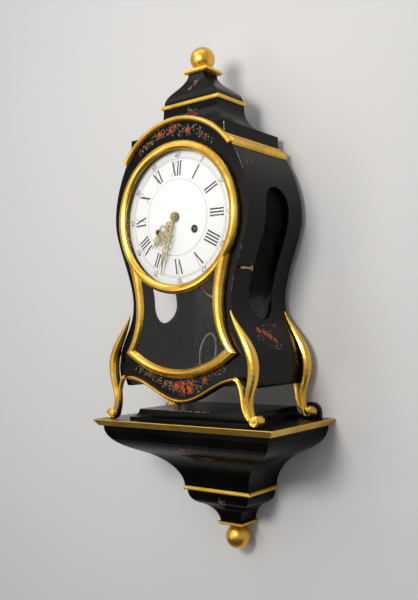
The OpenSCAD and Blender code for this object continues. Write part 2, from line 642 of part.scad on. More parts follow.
door_y = -face_y - door_gap;         // back of the gilt frame
glass_back = door_y - 2.4;           // back of the pane in its rebate
glass_front = glass_back - pane_t;
glass_rebate = 3.2;
pin_r = 1;
knuckle_r = 2;
hinge_x = -ring_r - knuckle_r - 0.4;
hinge_y = door_y - knuckle_r + 0.8;
hinge_zs = [dial_z, 81];
strap_lens = [11.5, 16];
leaf_t = 0.9;
leaf_h = 14.4;
leaf_w = 8;
knuckle_h = 4.4;
frame_outer = reversed(concat(door_outer, [for (i = [1:23]) rail_out[i]], mirrored(door_outer)));
frame_inner = reversed(concat(door_inner, [for (i = [1:23]) rail_in[i]], mirrored(door_inner)));

module door_frame() color("#c9962e") on_board() difference() {
    union() {
        translate([0, door_y, dial_z]) rotate([90, 0, 0]) rotate_extrude($fn = 96)
            polygon(concat([[ring_in, 0]], [for (i = [0:8]) let (a = 180 * i / 8)
                [(ring_r + ring_in) / 2 - (ring_r - ring_in) / 2 * cos(a),
                    door_h * (0.25 + 0.75 * pow(sin(a), 0.8))]], [[ring_r, 0]]));
        difference() {
            moulding(frame_outer, frame_inner, door_y, door_h);
            // The bars stop where they run into the ring
            translate([0, 0, dial_z]) bar_y(ring_in + 4, door_y - door_h - 1, door_y + 1);
        }
        // The keeper: a tongue with a barb at its end
        translate([keeper_x - keeper_t / 2, door_y - 1, catch_z - keeper_h / 2]) {
            cube([keeper_t, keeper_len + 1, keeper_h]);
            translate([0, keeper_len - 1.4, 0]) cube([keeper_t + 4, 2.4, keeper_h]);
        }
    }
    translate([0, 0, dial_z]) bar_y(ring_in + glass_rebate + 0.2, glass_front, door_y + 1);
    along_y(glass_front, door_y + 1) difference() {
        window_shape(glass_rebate - 0.2);
        translate([0, dial_z]) circle(r = pane_top_r - 0.2);
    }
}

// The bulging glass over the dial and the flat pane below it
glass_bulge = dial_bulge + 1.6;
// It is flatter in the middle than at its edge, which keeps it clear of the hands' tips
function glass_rise(r) = glass_bulge * (1 - pow(r / ring_in, 4));
pane_top_r = ring_r - 3.6;
module door_glass() color([0.75, 0.85, 0.88, 0.35]) on_board() {
    translate([0, 0, dial_z]) rotate([90, 0, 0]) rotate_extrude($fn = 96) polygon(concat(
        [[0, -glass_back + glass_bulge]],
        [for (i = [1:9]) let (r = ring_in * i / 9) [r, -glass_back + glass_rise(r)]],
        [[ring_in + glass_rebate, -glass_back], [ring_in + glass_rebate, -glass_front]],
        [for (i = [9:-1:0]) let (r = ring_in * i / 9) [r, -glass_front + glass_rise(r)]]));
    along_y(glass_front, glass_back) difference() {
        window_shape(glass_rebate - 0.4);
        translate([0, dial_z]) circle(r = pane_top_r);
    }
}

// Moving parts of the hinges: a strap behind the frame with the middle knuckle
module door_hinges() color("#b98a3a") on_board() for (i = [0, 1])
    translate([hinge_x, hinge_y, hinge_zs[i]]) difference() {
        union() {
            translate([0, 0, -knuckle_h / 2]) cylinder(r = knuckle_r, h = knuckle_h, $fn = 32);
            translate([pin_r + 0.4, door_y - hinge_y, -knuckle_h / 2])
                cube([strap_lens[i], door_gap - 0.3, knuckle_h]);
        }
        translate([0, 0, -knuckle_h]) cylinder(r = pin_r + run, h = 2 * knuckle_h, $fn = 32);
    }

// Fixed leaves with their outer knuckles and the pin
module door_hinge_leaves() color("#b98a3a") on_board() for (z = hinge_zs)
    translate([hinge_x, hinge_y, z]) {
        for (e = [-1, 1]) translate([0, 0, e * (knuckle_h + 0.3) - knuckle_h / 2]) {
            cylinder(r = knuckle_r, h = knuckle_h, $fn = 32);
            translate([-1.2, 0, 0]) cube([2, leaf_t - face_y - hinge_y, knuckle_h]);
        }
        translate([0, 0, -1.5 * knuckle_h]) cylinder(r = pin_r, h = 3 * knuckle_h, $fn = 32);
        translate([-1.2, -face_y - hinge_y, -leaf_h / 2 + 0.2])
            cube([leaf_w - 0.4, leaf_t, leaf_h - 0.4]);
    }

catch_len = 20;
catch_t = 1.6;
catch_pin_r = 0.8;
catch_x = case_hw(catch_z) + 2.6;
catch_pin_y = -face_y + panel_t + 0.6 + catch_len;
// The catch: a lever on the right side whose nose reaches in through a slot to the keeper
module door_catch() color("#c08a5a") on_board() translate([catch_x, catch_pin_y, catch_z])
    difference() {
        union() {
            translate([0, 0, -nose_h / 2]) cylinder(r = catch_pin_r + 1, h = nose_h, $fn = 32);
            translate([-catch_t / 2, -catch_len, -nose_h / 2]) cube([catch_t, catch_len - 0.4, nose_h]);
            translate([keeper_x + 2.6 - catch_x, -catch_len, -nose_h / 2])
                cube([catch_x - keeper_x - 2.6 + catch_t / 2, nose_w, nose_h]);
        }
        translate([0, 0, -nose_h]) cylinder(r = catch_pin_r + run, h = 2 * nose_h, $fn = 32);
    }

// The staple that carries the lever: two lugs on the side board and an upright pin
module catch_staple() color("#c08a5a") on_board() translate([catch_x, catch_pin_y, catch_z])
    difference() {
        union() {
            translate([0, 0, -nose_h / 2 - 1.9]) cylinder(r = catch_pin_r, h = nose_h + 3.8, $fn = 32);
            for (e = [-1, 1]) translate([-4, -1.4, e * (nose_h / 2 + 1.1) - 0.8]) cube([5.4, 2.8, 1.6]);
        }
        translate([-catch_x, -catch_pin_y, -catch_z]) along_y(catch_pin_y - 9, catch_pin_y + 9)
            case_outline();
    }

// Dial and motion work

dial_y = -face_y + 3.5;              // front of the dial
dial_t = 1.6;
rim_t = 2;
board_y = -face_y + panel_t;         // front of the dial's board
dial_board_t = 6;
dial_board_r = 90;
hand_bore = 3.7;                     // centre hole of the dial
hour_y = dial_y - dial_bulge - 1.8;  // front face of the hour hand
minute_y = hour_y - 2;
hand_t = 0.6;

function bulge(r, edge, height) = height * (1 - pow(r / edge, 2));
// The dial: a bulging enamelled disc with its rim turned back on to the dial's board
module dial() color("#f4f2ea") at_dial() difference() {
    rotate([90, 0, 0]) rotate_extrude($fn = 96) polygon(concat(
        [for (i = [0:10]) let (r = hand_bore + (dial_r - hand_bore) * i / 10)
            [r, -dial_y + bulge(r, dial_r, dial_bulge)]],
        [[dial_r, -board_y], [dial_r - rim_t, -board_y]],
        [for (i = [10:-1:0]) let (r = hand_bore + (dial_r - rim_t - hand_bore) * i / 10)
            [r, -dial_y - dial_t + bulge(r, dial_r, dial_bulge)]]));
    for (s = [-1, 1]) translate([s * wind_x, 0, -wind_drop])
        bar_y(wind_hole_r, dial_y - dial_bulge - 1, dial_y + 5);
}

post_x = 40;
post_z = 34;
plate_front = -plate_y;
post_r = 4;
module dial_board() color("#5b3d22") at_dial() difference() {
    bar_y(dial_board_r, board_y, board_y + dial_board_t);
    bar_y(30, board_y - 1, board_y + 9);
    for (s = [-1, 1]) translate([s * wind_x, 0, -wind_drop]) bar_y(wind_hole_r + 3, board_y - 1, board_y + 9);
}

module dial_pillars() color("#c9a04c") at_dial() for (s = [-1, 1], e = [-1, 1])
    translate([s * post_x, 0, e * post_z]) bar_y(post_r, board_y + dial_board_t, plate_front);

// A gear outline: n teeth of the given module, thin enough to run freely
module gear_shape(n, m, turn = 0) {
    step = 360 / n;
    root = m * (n / 2 - 1.15);
    tip = m * (n / 2 + 0.9);
    polygon([for (i = [0:n - 1], k = [[root, -0.3], [tip, -0.12], [tip, 0.12], [root, 0.3]])
        k[0] * [cos(turn + step * (i + k[1])), sin(turn + step * (i + k[1]))]]);
}

module gear_y(n, m, y0, y1, bore, turn = 0) along_y(y0, y1) difference() {
    gear_shape(n, m, turn);
    circle(r = bore, $fn = 32);
}

cannon_teeth = 14;
minute_teeth = 42;
reduce_teeth = 12;
hour_teeth = 48;
motion_m = 0.6;
motion_d = motion_m * (cannon_teeth + minute_teeth) / 2;
reduce_m = 2 * motion_d / (reduce_teeth + hour_teeth);
cannon_r = arbor_r + 0.8;
hour_pipe_r = cannon_r + run + 0.8;
motion_y = plate_front - 3.2;        // back of the first motion gears
reduce_y = motion_y - 2.4;
gear_t = 1.6;
stud_r = 1.1;
hour_deg = (minute_deg / 12 + 210) % 360;

// One link of a pierced hand: an oval of half width w and half height h with an oval hole
module link(x, z, w, h, bar, y) translate([x, 0, z]) difference() {
    scale([w, 1, h]) bar_y(1, y, y + hand_t);
    scale([w - bar, 1, h - bar]) bar_y(1, y - 1, y + hand_t + 1);
}

// A pierced hand drawn pointing up from the centre: a boss, a neck, pairs of scrolls and a
// leaf tip that leans back towards the dial. Each row of scrolls is [height, distance from the
// middle, half width, half height]
module hand(length, rows, tip_z, tip_w, boss, bore, y, lean = 0) difference() {
    union() {
        bar_y(boss, y, y + hand_t);
        along_y(y, y + hand_t) polygon([[-1.6, 0], [1.6, 0], [0.7, tip_z + 0.6], [-0.7, tip_z + 0.6]]);
        for (r = rows, s = [-1, 1]) link(s * r[1], r[0], r[2], r[3], 1.1, y);
        translate([0, y, tip_z]) rotate([-lean, 0, 0]) along_y(0, hand_t) polygon(concat(
            bezier([tip_w, 0], [tip_w * 0.9, 4], [0.7, length - tip_z - 9], [0.3, length - tip_z], 6),
            bezier([-0.3, length - tip_z], [-0.7, length - tip_z - 9], [-tip_w * 0.9, 4], [-tip_w, 0], 6)));
    }
    bar_y(bore, y - 1, y + 1);
}

module hour_hand() color("#cfa544") at_dial() rotate([0, hour_deg, 0])
    hand(hour_len, [[14.5, 2.4, 2.7, 5], [23.5, 4.6, 4.4, 4.6], [31.5, 6.4, 4.6, 4.4], [33.5, 2.6, 2.6, 6],
        [40, 3, 2.9, 3.4]], hour_len * 0.78, 2.4, 6.4, hour_pipe_r, hour_y);

module hour_wheel() color("#c9a04c") at_dial() {
    tube_y(hour_pipe_r, cannon_r + run, hour_y, reduce_y);
    gear_y(hour_teeth, reduce_m, reduce_y - gear_t, reduce_y, hour_pipe_r - 0.4);
}

module minute_hand() color("#cfa544") at_dial() rotate([0, minute_deg, 0])
    hand(minute_len, [[16, 2.6, 2.9, 6], [26, 4, 3.6, 5], [35, 3.4, 3.2, 5], [43.5, 2.2, 2.4, 4.4],
        [50.5, 1.5, 1.8, 3.4]], minute_len * 0.7, 1.9, 5.6, cannon_r, minute_y, 14);

module hand_nut() color("#b8943c") at_dial() difference() {
    union() {
        bar_y(4.2, minute_y - 1.1, minute_y);
        bar_y(2.6, minute_y - 1.7, minute_y);
    }
    bar_y(arbor_r, minute_y - 1, minute_y + 1);
}

module cannon_pinion() color("#c9a04c") at_dial() {
    tube_y(cannon_r, arbor_r, minute_y, motion_y);
    gear_y(cannon_teeth, motion_m, motion_y - gear_t, motion_y, cannon_r - 0.4);
}

module minute_wheel() color("#c9a04c") at_dial() translate([-motion_d, 0, 0]) {
    gear_y(minute_teeth, motion_m, motion_y - gear_t, motion_y, stud_r + run, 180 / minute_teeth);
    gear_y(reduce_teeth, reduce_m, reduce_y - gear_t, motion_y - gear_t, stud_r + run, 180 / reduce_teeth);
}

// Movement

plate_w = 104;
plate_top = 40;
plate_low = 52;
back_front = plate_front + plate_t + plate_gap;
pillar_r = 3.5;
pillar_x = 45;
centre_teeth = 12;
going_teeth = 72;
inter_teeth = 72;
inter_pinion_teeth = 12;
great_m = 0.66;
train_m = 0.46;
great_d = great_m * (going_teeth + inter_pinion_teeth) / 2;
train_d = train_m * (inter_teeth + centre_teeth) / 2;
wind_d = norm([wind_x, wind_drop]);
inter_along = (train_d * train_d - great_d * great_d + wind_d * wind_d) / (2 * wind_d);
inter_off = sqrt(train_d * train_d - inter_along * inter_along);
wind_dir = [wind_x, -wind_drop] / wind_d;
inter_pos = inter_along * wind_dir + inter_off * [-wind_dir[1], wind_dir[0]];
pivot_r = 1.2;
barrel_arbor_r = 3;
square_r = 1.9;
barrel_y0 = plate_front + plate_t + 6;
barrel_y1 = back_front - 6.5;
hammer_pos = [38, -46];

module plate_shape() difference() {
    translate([-plate_w / 2, -plate_low]) square([plate_w, plate_top + plate_low]);
    for (s = [-1, 1], z = [plate_top, -plate_low]) translate([s * plate_w / 2, z]) rotate(45)
        square(9, center = true);
}

module plate_holes() {
    circle(r = arbor_r + run);
    for (s = [-1, 1]) translate([s * wind_x, -wind_drop]) circle(r = barrel_arbor_r + run);
    translate(inter_pos) circle(r = pivot_r + run);
    translate(hammer_pos) circle(r = pivot_r + run);
}

module front_plate() color("#d2b25c") at_dial() {
    along_y(plate_front, plate_front + plate_t) difference() {
        plate_shape();
        plate_holes();
    }
    // Stud of the minute wheel
    translate([-motion_d, 0, 0]) bar_y(stud_r, reduce_y - gear_t - 0.6, plate_front + 0.5);
}

module back_plate() color("#d2b25c") at_dial()
    along_y(back_front, back_front + plate_t) difference() {
        plate_shape();
        plate_holes();
    }

module plate_pillars() color("#c9a04c") at_dial() for (s = [-1, 1], z = [plate_top - 8, -plate_low + 8])
    translate([s * pillar_x, 0, z]) bar_y(pillar_r, plate_front + plate_t, back_front);

centre_y = plate_front + plate_t + 1;
module centre_wheel() color("#c9a04c") at_dial() {
    bar_y(arbor_r, minute_y - 0.9, back_front + plate_t);
    gear_y(centre_teeth, train_m, centre_y, centre_y + 2.4, arbor_r - 0.4, atan2(inter_pos[1], inter_pos[0])
        + 180 / centre_teeth);
    gear_y(80, 0.4, back_front - 3.4, back_front - 1.8, arbor_r - 0.4);
}

module intermediate_wheel() color("#c9a04c") at_dial() translate([inter_pos[0], 0, inter_pos[1]]) {
    bar_y(pivot_r, plate_front, back_front + plate_t);
    gear_y(inter_teeth, train_m, centre_y + 0.4, centre_y + 2, pivot_r - 0.3,
        atan2(-inter_pos[1], -inter_pos[0]));
    gear_y(inter_pinion_teeth, great_m, barrel_y1 - 0.3, barrel_y1 + 2.1, pivot_r - 0.3,
        inter_to_barrel + 180 / inter_pinion_teeth);
}

inter_to_barrel = atan2(-wind_drop - inter_pos[1], wind_x - inter_pos[0]);
module barrel(turn) {
    tube_y(barrel_r, barrel_r - 1.4, barrel_y0, barrel_y1);
    tube_y(barrel_r - 1, barrel_arbor_r + run, barrel_y0, barrel_y0 + 1.2);
    gear_y(going_teeth, great_m, barrel_y1, barrel_y1 + 1.8, barrel_arbor_r + run, turn);
}

module going_barrel() color("#c9a04c") at_dial() translate([wind_x, 0, -wind_drop])
    barrel(inter_to_barrel + 180);
module strike_barrel() color("#c9a04c") at_dial() translate([-wind_x, 0, -wind_drop]) barrel(0);

// Winding arbor with the square that the key fits
square_y = dial_y + 1.2 - bulge(norm([wind_x, wind_drop]), dial_r, dial_bulge);
module winding_arbor() {
    bar_y(barrel_arbor_r, plate_front - 1, back_front + plate_t);
    bar_y(barrel_arbor_r + 5, barrel_y0 + 2, barrel_y1 - 1);
    along_y(square_y, plate_front - 1) square(2 * square_r, center = true);
}

module going_arbor() color("#a9acae") at_dial() translate([wind_x, 0, -wind_drop]) winding_arbor();
module strike_arbor() color("#a9acae") at_dial() translate([-wind_x, 0, -wind_drop]) winding_arbor();

// Balance and its platform on top of the plates
platform_z = plate_top;
platform_y = (plate_front + back_front + plate_t) / 2;
staff_r = 0.6;
cock_z = 9;
module platform() color("#d2b25c") at_dial() translate([0, platform_y, platform_z]) difference() {
    union() {
        translate([-17, -20.4, 0]) cube([34, 40.8, 1.6]);
        translate([0, 0, 1]) cylinder(r = 2.2, h = 2);
        difference() {
            translate([-14, -2.5, 1]) cube([28, 5, cock_z + 1]);
            translate([-balance_r - 2, -3, 1.6]) cube([2 * balance_r + 4, 6, cock_z - 1.6]);
        }
    }
    cylinder(r = staff_r + run, h = 20, $fn = 32);
}

module balance_wheel() color("#cfa544") at_dial() translate([0, platform_y, platform_z]) {
    translate([0, 0, 4.6]) difference() {
        cylinder(r = balance_r, h = 1.6);
        translate([0, 0, -1]) cylinder(r = balance_r - 1.6, h = 4);
    }
    translate([-balance_r + 1, -0.8, 4.8]) cube([2 * balance_r - 2, 1.6, 1.2]);
    translate([0, 0, 3.4]) cylinder(r = 1.4, h = cock_z - 3.8);
    translate([0, 0, 1.4]) cylinder(r = staff_r, h = cock_z - 0.2, $fn = 32);
}

// Bell behind the movement, on a stand from the back board
bell_y = -back_y - 25;
bell_z = -70;
module bell() color("#b89a54") at_dial() translate([0, bell_y, bell_z]) rotate([90, 0, 0])
    rotate_extrude() polygon(concat(
        [[1.6, 0]], bezier([4, 0], [bell_r * 0.7, 0.5], [bell_r * 0.86, 8], [bell_r, 20], 8),
        reversed(bezier([4, 2], [bell_r * 0.64, 2.5], [bell_r * 0.78, 9], [bell_r - 2.2, 20], 8)),
        [[1.6, 2]]));

module bell_stand() color("#a9acae") at_dial() translate([0, 0, bell_z]) {
    bar_y(1.6, bell_y - 5, -back_y - panel_t);
    bar_y(4, bell_y, -back_y - panel_t);
    bar_y(3.6, bell_y - 4.2, bell_y - 2);
}

// Hammer: an arbor through the back plate, an arm and a head beside the bell's rim
head_pos = [36, bell_z];
head_r = 4;
module hammer() color("#a9acae") at_dial() {
    translate([hammer_pos[0], 0, hammer_pos[1]]) bar_y(pivot_r, back_front - 2, back_front + 12);
    translate([head_pos[0], 0, head_pos[1]]) bar_y(head_r, back_front + 6, back_front + 12);
    along_y(back_front + 7, back_front + 10) polygon([[head_pos[0] - 1.2, head_pos[1]],
        [head_pos[0] + 1.2, head_pos[1]], [hammer_pos[0] + 1.6, hammer_pos[1] + 1],
        [hammer_pos[0] - 1.6, hammer_pos[1] + 1]]);
}

// Winding key on the case's floor behind the glass: a pipe with a square socket lies on the
// floor, and the oval wire loop that serves as its wing stands up from it
key_x = 23.5;
key_y = -face_y + panel_t + 7;
key_r = 4.6;
key_len = 24;
wire_r = 0.8;
loop_w = 12.5;
loop_h = 24.5;
key_floor = case_z0 + 2 + floor_t;
module winding_key() color("#cfcfc8") on_board() translate([key_x, key_y, key_floor + key_r]) {
    rotate([0, 14, 0]) translate([0, 0, key_r + loop_h - 1.4]) difference() {
        scale([loop_w, 1, loop_h]) bar_y(1, -wire_r, wire_r);
        scale([loop_w - 2 * wire_r, 1, loop_h - 2 * wire_r]) bar_y(1, -2, 2);
    }
    difference() {
        rotate([0, 90, 0]) translate([0, 0, -key_len / 2]) cylinder(r = key_r, h = key_len, $fn = 40);
        translate([-key_len / 2 - 1, -square_r - run, -square_r - run])
            cube([12, 2 * (square_r + run), 2 * (square_r + run)]);
    }
}

bracket_top_board();
bracket_edge_moulding();
bracket_plinth();
bracket_upper_body();
bracket_back_board();
bracket_band();
bracket_lower_body();
bracket_cap();
bracket_ball();
bracket_hangers();
hanger_screws();
wall_spacers();
case_front_panel();
case_left_side();
case_right_side();
case_back_board();
case_floor();
case_top_board();
attic();
arch_moulding();
cornice_moulding();
apron_moulding();
hood_cove();
hood_band();
hood_ogee();
hood_cap();
hood_ball();
front_legs();
back_legs();
side_panes();
door_frame();
door_glass();
door_hinges();
door_hinge_leaves();
door_catch();
catch_staple();
dial();
dial_board();
dial_pillars();
hour_hand();
hour_wheel();
minute_hand();
hand_nut();
cannon_pinion();
minute_wheel();
front_plate();
back_plate();
plate_pillars();
centre_wheel();
intermediate_wheel();
going_barrel();
strike_barrel();
going_arbor();
strike_arbor();
platform();
balance_wheel();
bell();
bell_stand();
hammer();
winding_key();
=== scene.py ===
# Looks of the bracket clock: materials, dial markings, painted flowers, wear, lights and camera
import json
import math
import random

import bpy
from mathutils import Matrix, Vector
from mathutils.bvhtree import BVHTree


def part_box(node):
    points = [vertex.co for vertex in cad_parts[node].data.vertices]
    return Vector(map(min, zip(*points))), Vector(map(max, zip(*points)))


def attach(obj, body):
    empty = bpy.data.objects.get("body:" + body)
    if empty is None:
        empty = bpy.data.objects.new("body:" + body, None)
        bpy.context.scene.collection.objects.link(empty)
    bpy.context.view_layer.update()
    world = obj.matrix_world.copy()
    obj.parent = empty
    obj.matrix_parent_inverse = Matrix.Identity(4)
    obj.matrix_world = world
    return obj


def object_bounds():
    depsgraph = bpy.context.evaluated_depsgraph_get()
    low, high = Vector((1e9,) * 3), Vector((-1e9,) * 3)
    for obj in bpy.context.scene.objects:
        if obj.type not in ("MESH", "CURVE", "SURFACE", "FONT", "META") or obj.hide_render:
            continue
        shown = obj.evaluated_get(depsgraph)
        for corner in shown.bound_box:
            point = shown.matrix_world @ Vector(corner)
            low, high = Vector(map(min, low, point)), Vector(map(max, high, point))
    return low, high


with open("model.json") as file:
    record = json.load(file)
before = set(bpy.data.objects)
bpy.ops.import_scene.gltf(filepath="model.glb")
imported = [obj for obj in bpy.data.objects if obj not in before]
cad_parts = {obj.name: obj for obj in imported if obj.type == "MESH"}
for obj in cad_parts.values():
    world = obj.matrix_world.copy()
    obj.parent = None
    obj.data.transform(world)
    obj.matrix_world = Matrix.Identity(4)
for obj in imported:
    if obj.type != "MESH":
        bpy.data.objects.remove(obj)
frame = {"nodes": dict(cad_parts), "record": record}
cad_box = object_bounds()
nodes = frame["nodes"]
body_of_node = {}
for body_name, node_names in frame["record"]["behaviour"]["bodies"].items():
    for node_name in node_names:
        body_of_node[node_name] = body_name
MM = 0.001


# Camera, fitted to the photograph: its place in metres, its turns, and its focal length in pixels
PHOTO_WIDE, PHOTO_TALL = 418, 600
FOCAL_PX = 766.85
AZIMUTH, PITCH, ROLL = math.radians(37.8388), math.radians(2.4603), math.radians(-1.4129)
EYE = Vector((0.60247, -0.84440, 0.13882))
SENSOR_MM = 36
NEAREST, FARTHEST = 0.01, 50
ahead = Vector((-math.sin(AZIMUTH) * math.cos(PITCH), math.cos(AZIMUTH) * math.cos(PITCH), math.sin(PITCH)))
level_right = Vector((math.cos(AZIMUTH), math.sin(AZIMUTH), 0))
level_up = level_right.cross(ahead)
camera_right = level_right * math.cos(ROLL) + level_up * math.sin(ROLL)
camera_up = level_up * math.cos(ROLL) - level_right * math.sin(ROLL)
camera_data = bpy.data.cameras.new("camera")
camera_data.sensor_width = SENSOR_MM
camera_data.lens = FOCAL_PX / PHOTO_TALL * SENSOR_MM
camera_data.clip_start = NEAREST
camera_data.clip_end = FARTHEST
camera = bpy.data.objects.new("camera", camera_data)
bpy.context.collection.objects.link(camera)
turn = Matrix((camera_right, camera_up, -ahead)).transposed()
camera.matrix_world = Matrix.Translation(EYE) @ turn.to_4x4()
bpy.context.scene.camera = camera


# Direction from the eye through a pixel of the photograph
def pixel_ray(px, py):
    across = camera_right * (px - PHOTO_WIDE / 2)
    down = camera_up * (py - PHOTO_TALL / 2)
    return (ahead * FOCAL_PX + across - down).normalized()


# The Mix node has several sockets of one name, so its colour sockets go by number
MIX_FACTOR, MIX_UNDER, MIX_OVER, MIX_COLOUR = 0, 6, 7, 2
# Most of a noise lies between these two values
NOISE_SPAN = (0.3, 0.7)


# A material and helpers for its nodes, with noise scales per metre and bump distances in metres
class Look:
    def __init__(self, name):
        self.mat = bpy.data.materials.new(name)
        self.mat.use_nodes = True
        self.tree = self.mat.node_tree
        self.bsdf = self.tree.nodes["Principled BSDF"]
        self.place = self.node("ShaderNodeTexCoord").outputs["Object"]
        self.normal = None

    def node(self, kind):
        return self.tree.nodes.new(kind)

    # Sets inputs of the Principled BSDF by their names, with _ for a space
    def set(self, **values):
        for key, value in values.items():
            self.bsdf.inputs[key.replace("_", " ")].default_value = value

    # Links a socket to an input, or sets the input to a plain value
    def feed(self, value, target):
        if hasattr(value, "is_linked"):
            self.tree.links.new(value, target)
        else:
            target.default_value = value

    def noise(self, scale, detail, rough=0.55, stretch=None, distort=0.0):
        noise = self.node("ShaderNodeTexNoise")
        noise.inputs["Scale"].default_value = scale
        noise.inputs["Detail"].default_value = detail
        noise.inputs["Roughness"].default_value = rough
        noise.inputs["Distortion"].default_value = distort
        source = self.place
        if stretch:
            mapping = self.node("ShaderNodeMapping")
            mapping.inputs["Scale"].default_value = stretch
            self.feed(source, mapping.inputs["Vector"])
            source = mapping.outputs["Vector"]
        self.feed(source, noise.inputs["Vector"])
        return noise.outputs["Fac"]

    # Colours, or plain values, at stops along a noise
    def ramp(self, source, stops):
        ramp = self.node("ShaderNodeValToRGB")
        elements = ramp.color_ramp.elements
        while len(elements) < len(stops):
            elements.new(0.5)
        for element, (position, value) in zip(elements, stops):
            element.position = position
            element.color = (value, value, value, 1) if isinstance(value, float) else (*value, 1)
        self.feed(source, ramp.inputs["Fac"])
        return ramp.outputs["Color"]

    def blend(self, source, low, high, span=NOISE_SPAN):
        return self.ramp(source, [(span[0], low), (span[1], high)])

    # A plain colour laid over another where the spots are, at a share of its full strength
    def tinted(self, under, tint, spots, share):
        mix = self.node("ShaderNodeMix")
        mix.data_type = "RGBA"
        self.feed(self.math("MULTIPLY", spots, share), mix.inputs[MIX_FACTOR])
        self.feed(under, mix.inputs[MIX_UNDER])
        self.feed((*tint, 1), mix.inputs[MIX_OVER])
        return mix.outputs[MIX_COLOUR]

    def math(self, operation, first, second):
        math_node = self.node("ShaderNodeMath")
        math_node.operation = operation
        self.feed(first, math_node.inputs[0])
        self.feed(second, math_node.inputs[1])
        return math_node.outputs[0]

    def colour(self, source):
        self.feed(source, self.bsdf.inputs["Base Color"])

    def roughness(self, source, low, high):
        self.feed(self.blend(source, low, high), self.bsdf.inputs["Roughness"])

    # Adds a layer of bumps over those before it
    def bump(self, source, strength, distance):
        bump = self.node("ShaderNodeBump")
        bump.inputs["Strength"].default_value = strength
        bump.inputs["Distance"].default_value = distance
        self.feed(source, bump.inputs["Height"])
        if self.normal:
            self.feed(self.normal, bump.inputs["Normal"])
        self.normal = bump.outputs["Normal"]
        self.feed(self.normal, self.bsdf.inputs["Normal"])

    # A plain shader beside the Principled BSDF
    def shader(self, kind, tint):
        node = self.node(kind)
        node.inputs["Color"].default_value = (*tint, 1)
        return node.outputs[0]

    def mixed(self, factor, first, second):
        mix = self.node("ShaderNodeMixShader")
        for value, target in zip((factor, first, second), mix.inputs):
            self.feed(value, target)
        return mix.outputs[0]

    def surface(self, source):
        self.feed(source, self.tree.nodes["Material Output"].inputs["Surface"])


# Black lacquer with dust in its pores, a few long waves and fine ones
def lacquer(name, shine):
    dark, light, dust = (0.0022, 0.0021, 0.0019), (0.0050, 0.0044, 0.0036), (0.07, 0.06, 0.05)
    look = Look(name)
    tone = look.blend(look.noise(scale=14, detail=4), dark, light, span=(0.35, 0.7))
    pores = look.blend(look.noise(scale=900, detail=2, rough=0.7), 0.0, 1.0, span=(0.72, 0.80))
    look.colour(look.tinted(tone, dust, spots=pores, share=0.16))
    look.roughness(look.noise(scale=22, detail=5, rough=0.65), low=0.17, high=0.30)
    look.set(Specular_IOR_Level=shine)
    look.bump(look.noise(scale=16, detail=2), strength=0.10, distance=1.2 * MM)
    look.bump(look.noise(scale=420, detail=3), strength=0.06, distance=0.12 * MM)
    return look.mat


# Gold leaf, worn through to red bole in small spots; warm moves its hue towards yellow
def gilding(name, low, high, warm=0.0):
    leaf_stops = [(0.3, (0.70, 0.385 + warm, 0.045)), (0.55, (0.86, 0.53 + warm, 0.090)),
        (0.8, (0.94, 0.65 + warm, 0.16))]
    bole = (0.40, 0.15, 0.025)
    look = Look(name)
    leaf = look.ramp(look.noise(scale=30, detail=4, rough=0.5), leaf_stops)
    worn = look.blend(look.noise(scale=110, detail=6, rough=0.75), 0.0, 1.0, span=(0.68, 0.80))
    look.colour(look.tinted(leaf, bole, spots=worn, share=0.50))
    look.set(Metallic=1.0)
    look.roughness(look.noise(scale=70, detail=4, rough=0.6), low, high)
    look.bump(look.noise(scale=60, detail=3), strength=0.12, distance=0.6 * MM)
    look.bump(look.noise(scale=700, detail=2, stretch=(1, 1, 0.25)), strength=0.05, distance=0.10 * MM)
    return look.mat


# Bare metal, from its dark to its light tone, with a fine brushed grain
def metal(name, dark, light, low, high, scale=90):
    look = Look(name)
    look.colour(look.blend(look.noise(scale, detail=5, rough=0.6), dark, light))
    look.set(Metallic=1.0)
    look.roughness(look.noise(scale * 2, detail=4), low, high)
    look.bump(look.noise(scale * 12, detail=2, stretch=(1, 1, 0.2)), strength=0.06, distance=0.08 * MM)
    return look.mat


# White enamel, hardly mottled and slightly wavy
def enamel():
    look = Look("white_enamel")
    look.colour(look.blend(look.noise(scale=30, detail=3), (0.83, 0.83, 0.825), (0.87, 0.87, 0.865)))
    look.set(Roughness=0.28, Specular_IOR_Level=0.3)
    look.bump(look.noise(scale=45, detail=2), strength=0.04, distance=0.8 * MM)
    return look.mat


# Dark bare wood, its grain running up the boards; its tones are darkened further as painted shade for the dim
# inside of the case
def bare_wood():
    look = Look("bare_wood")
    grain = look.noise(scale=30, detail=8, rough=0.6, stretch=(6, 1, 1), distort=0.6)
    look.colour(look.blend(grain, (0.014, 0.008, 0.005), (0.038, 0.022, 0.012)))
    look.roughness(grain, low=0.5, high=0.75)
    look.bump(grain, strength=0.25, distance=0.4 * MM)
    return look.mat


# Glass that lets shadow rays and diffuse rays straight through, under a thin film of dust
def glass(name, ior, dust):
    look = Look(name)
    look.set(Base_Color=(1, 1, 1, 1), Roughness=0.01, Transmission_Weight=1.0, IOR=ior)
    clear = look.shader("ShaderNodeBsdfTransparent", (0.955, 0.955, 0.95))
    film = look.shader("ShaderNodeBsdfDiffuse", (0.80, 0.79, 0.76))
    ray = look.node("ShaderNodeLightPath").outputs
    straight = look.math("MAXIMUM", ray["Is Shadow Ray"], ray["Is Diffuse Ray"])
    pane = look.mixed(straight, look.bsdf.outputs[0], clear)
    look.surface(look.mixed(dust, pane, film))
    return look.mat


# Matt paint with visible grain
def paint(name, dark, light):
    look = Look(name)
    look.colour(look.blend(look.noise(scale=500, detail=3, rough=0.6), dark, light, span=(0.35, 0.65)))
    look.set(Roughness=0.5, Specular_IOR_Level=0.15)
    look.bump(look.noise(scale=1500, detail=2), strength=0.15, distance=0.05 * MM)
    return look.mat


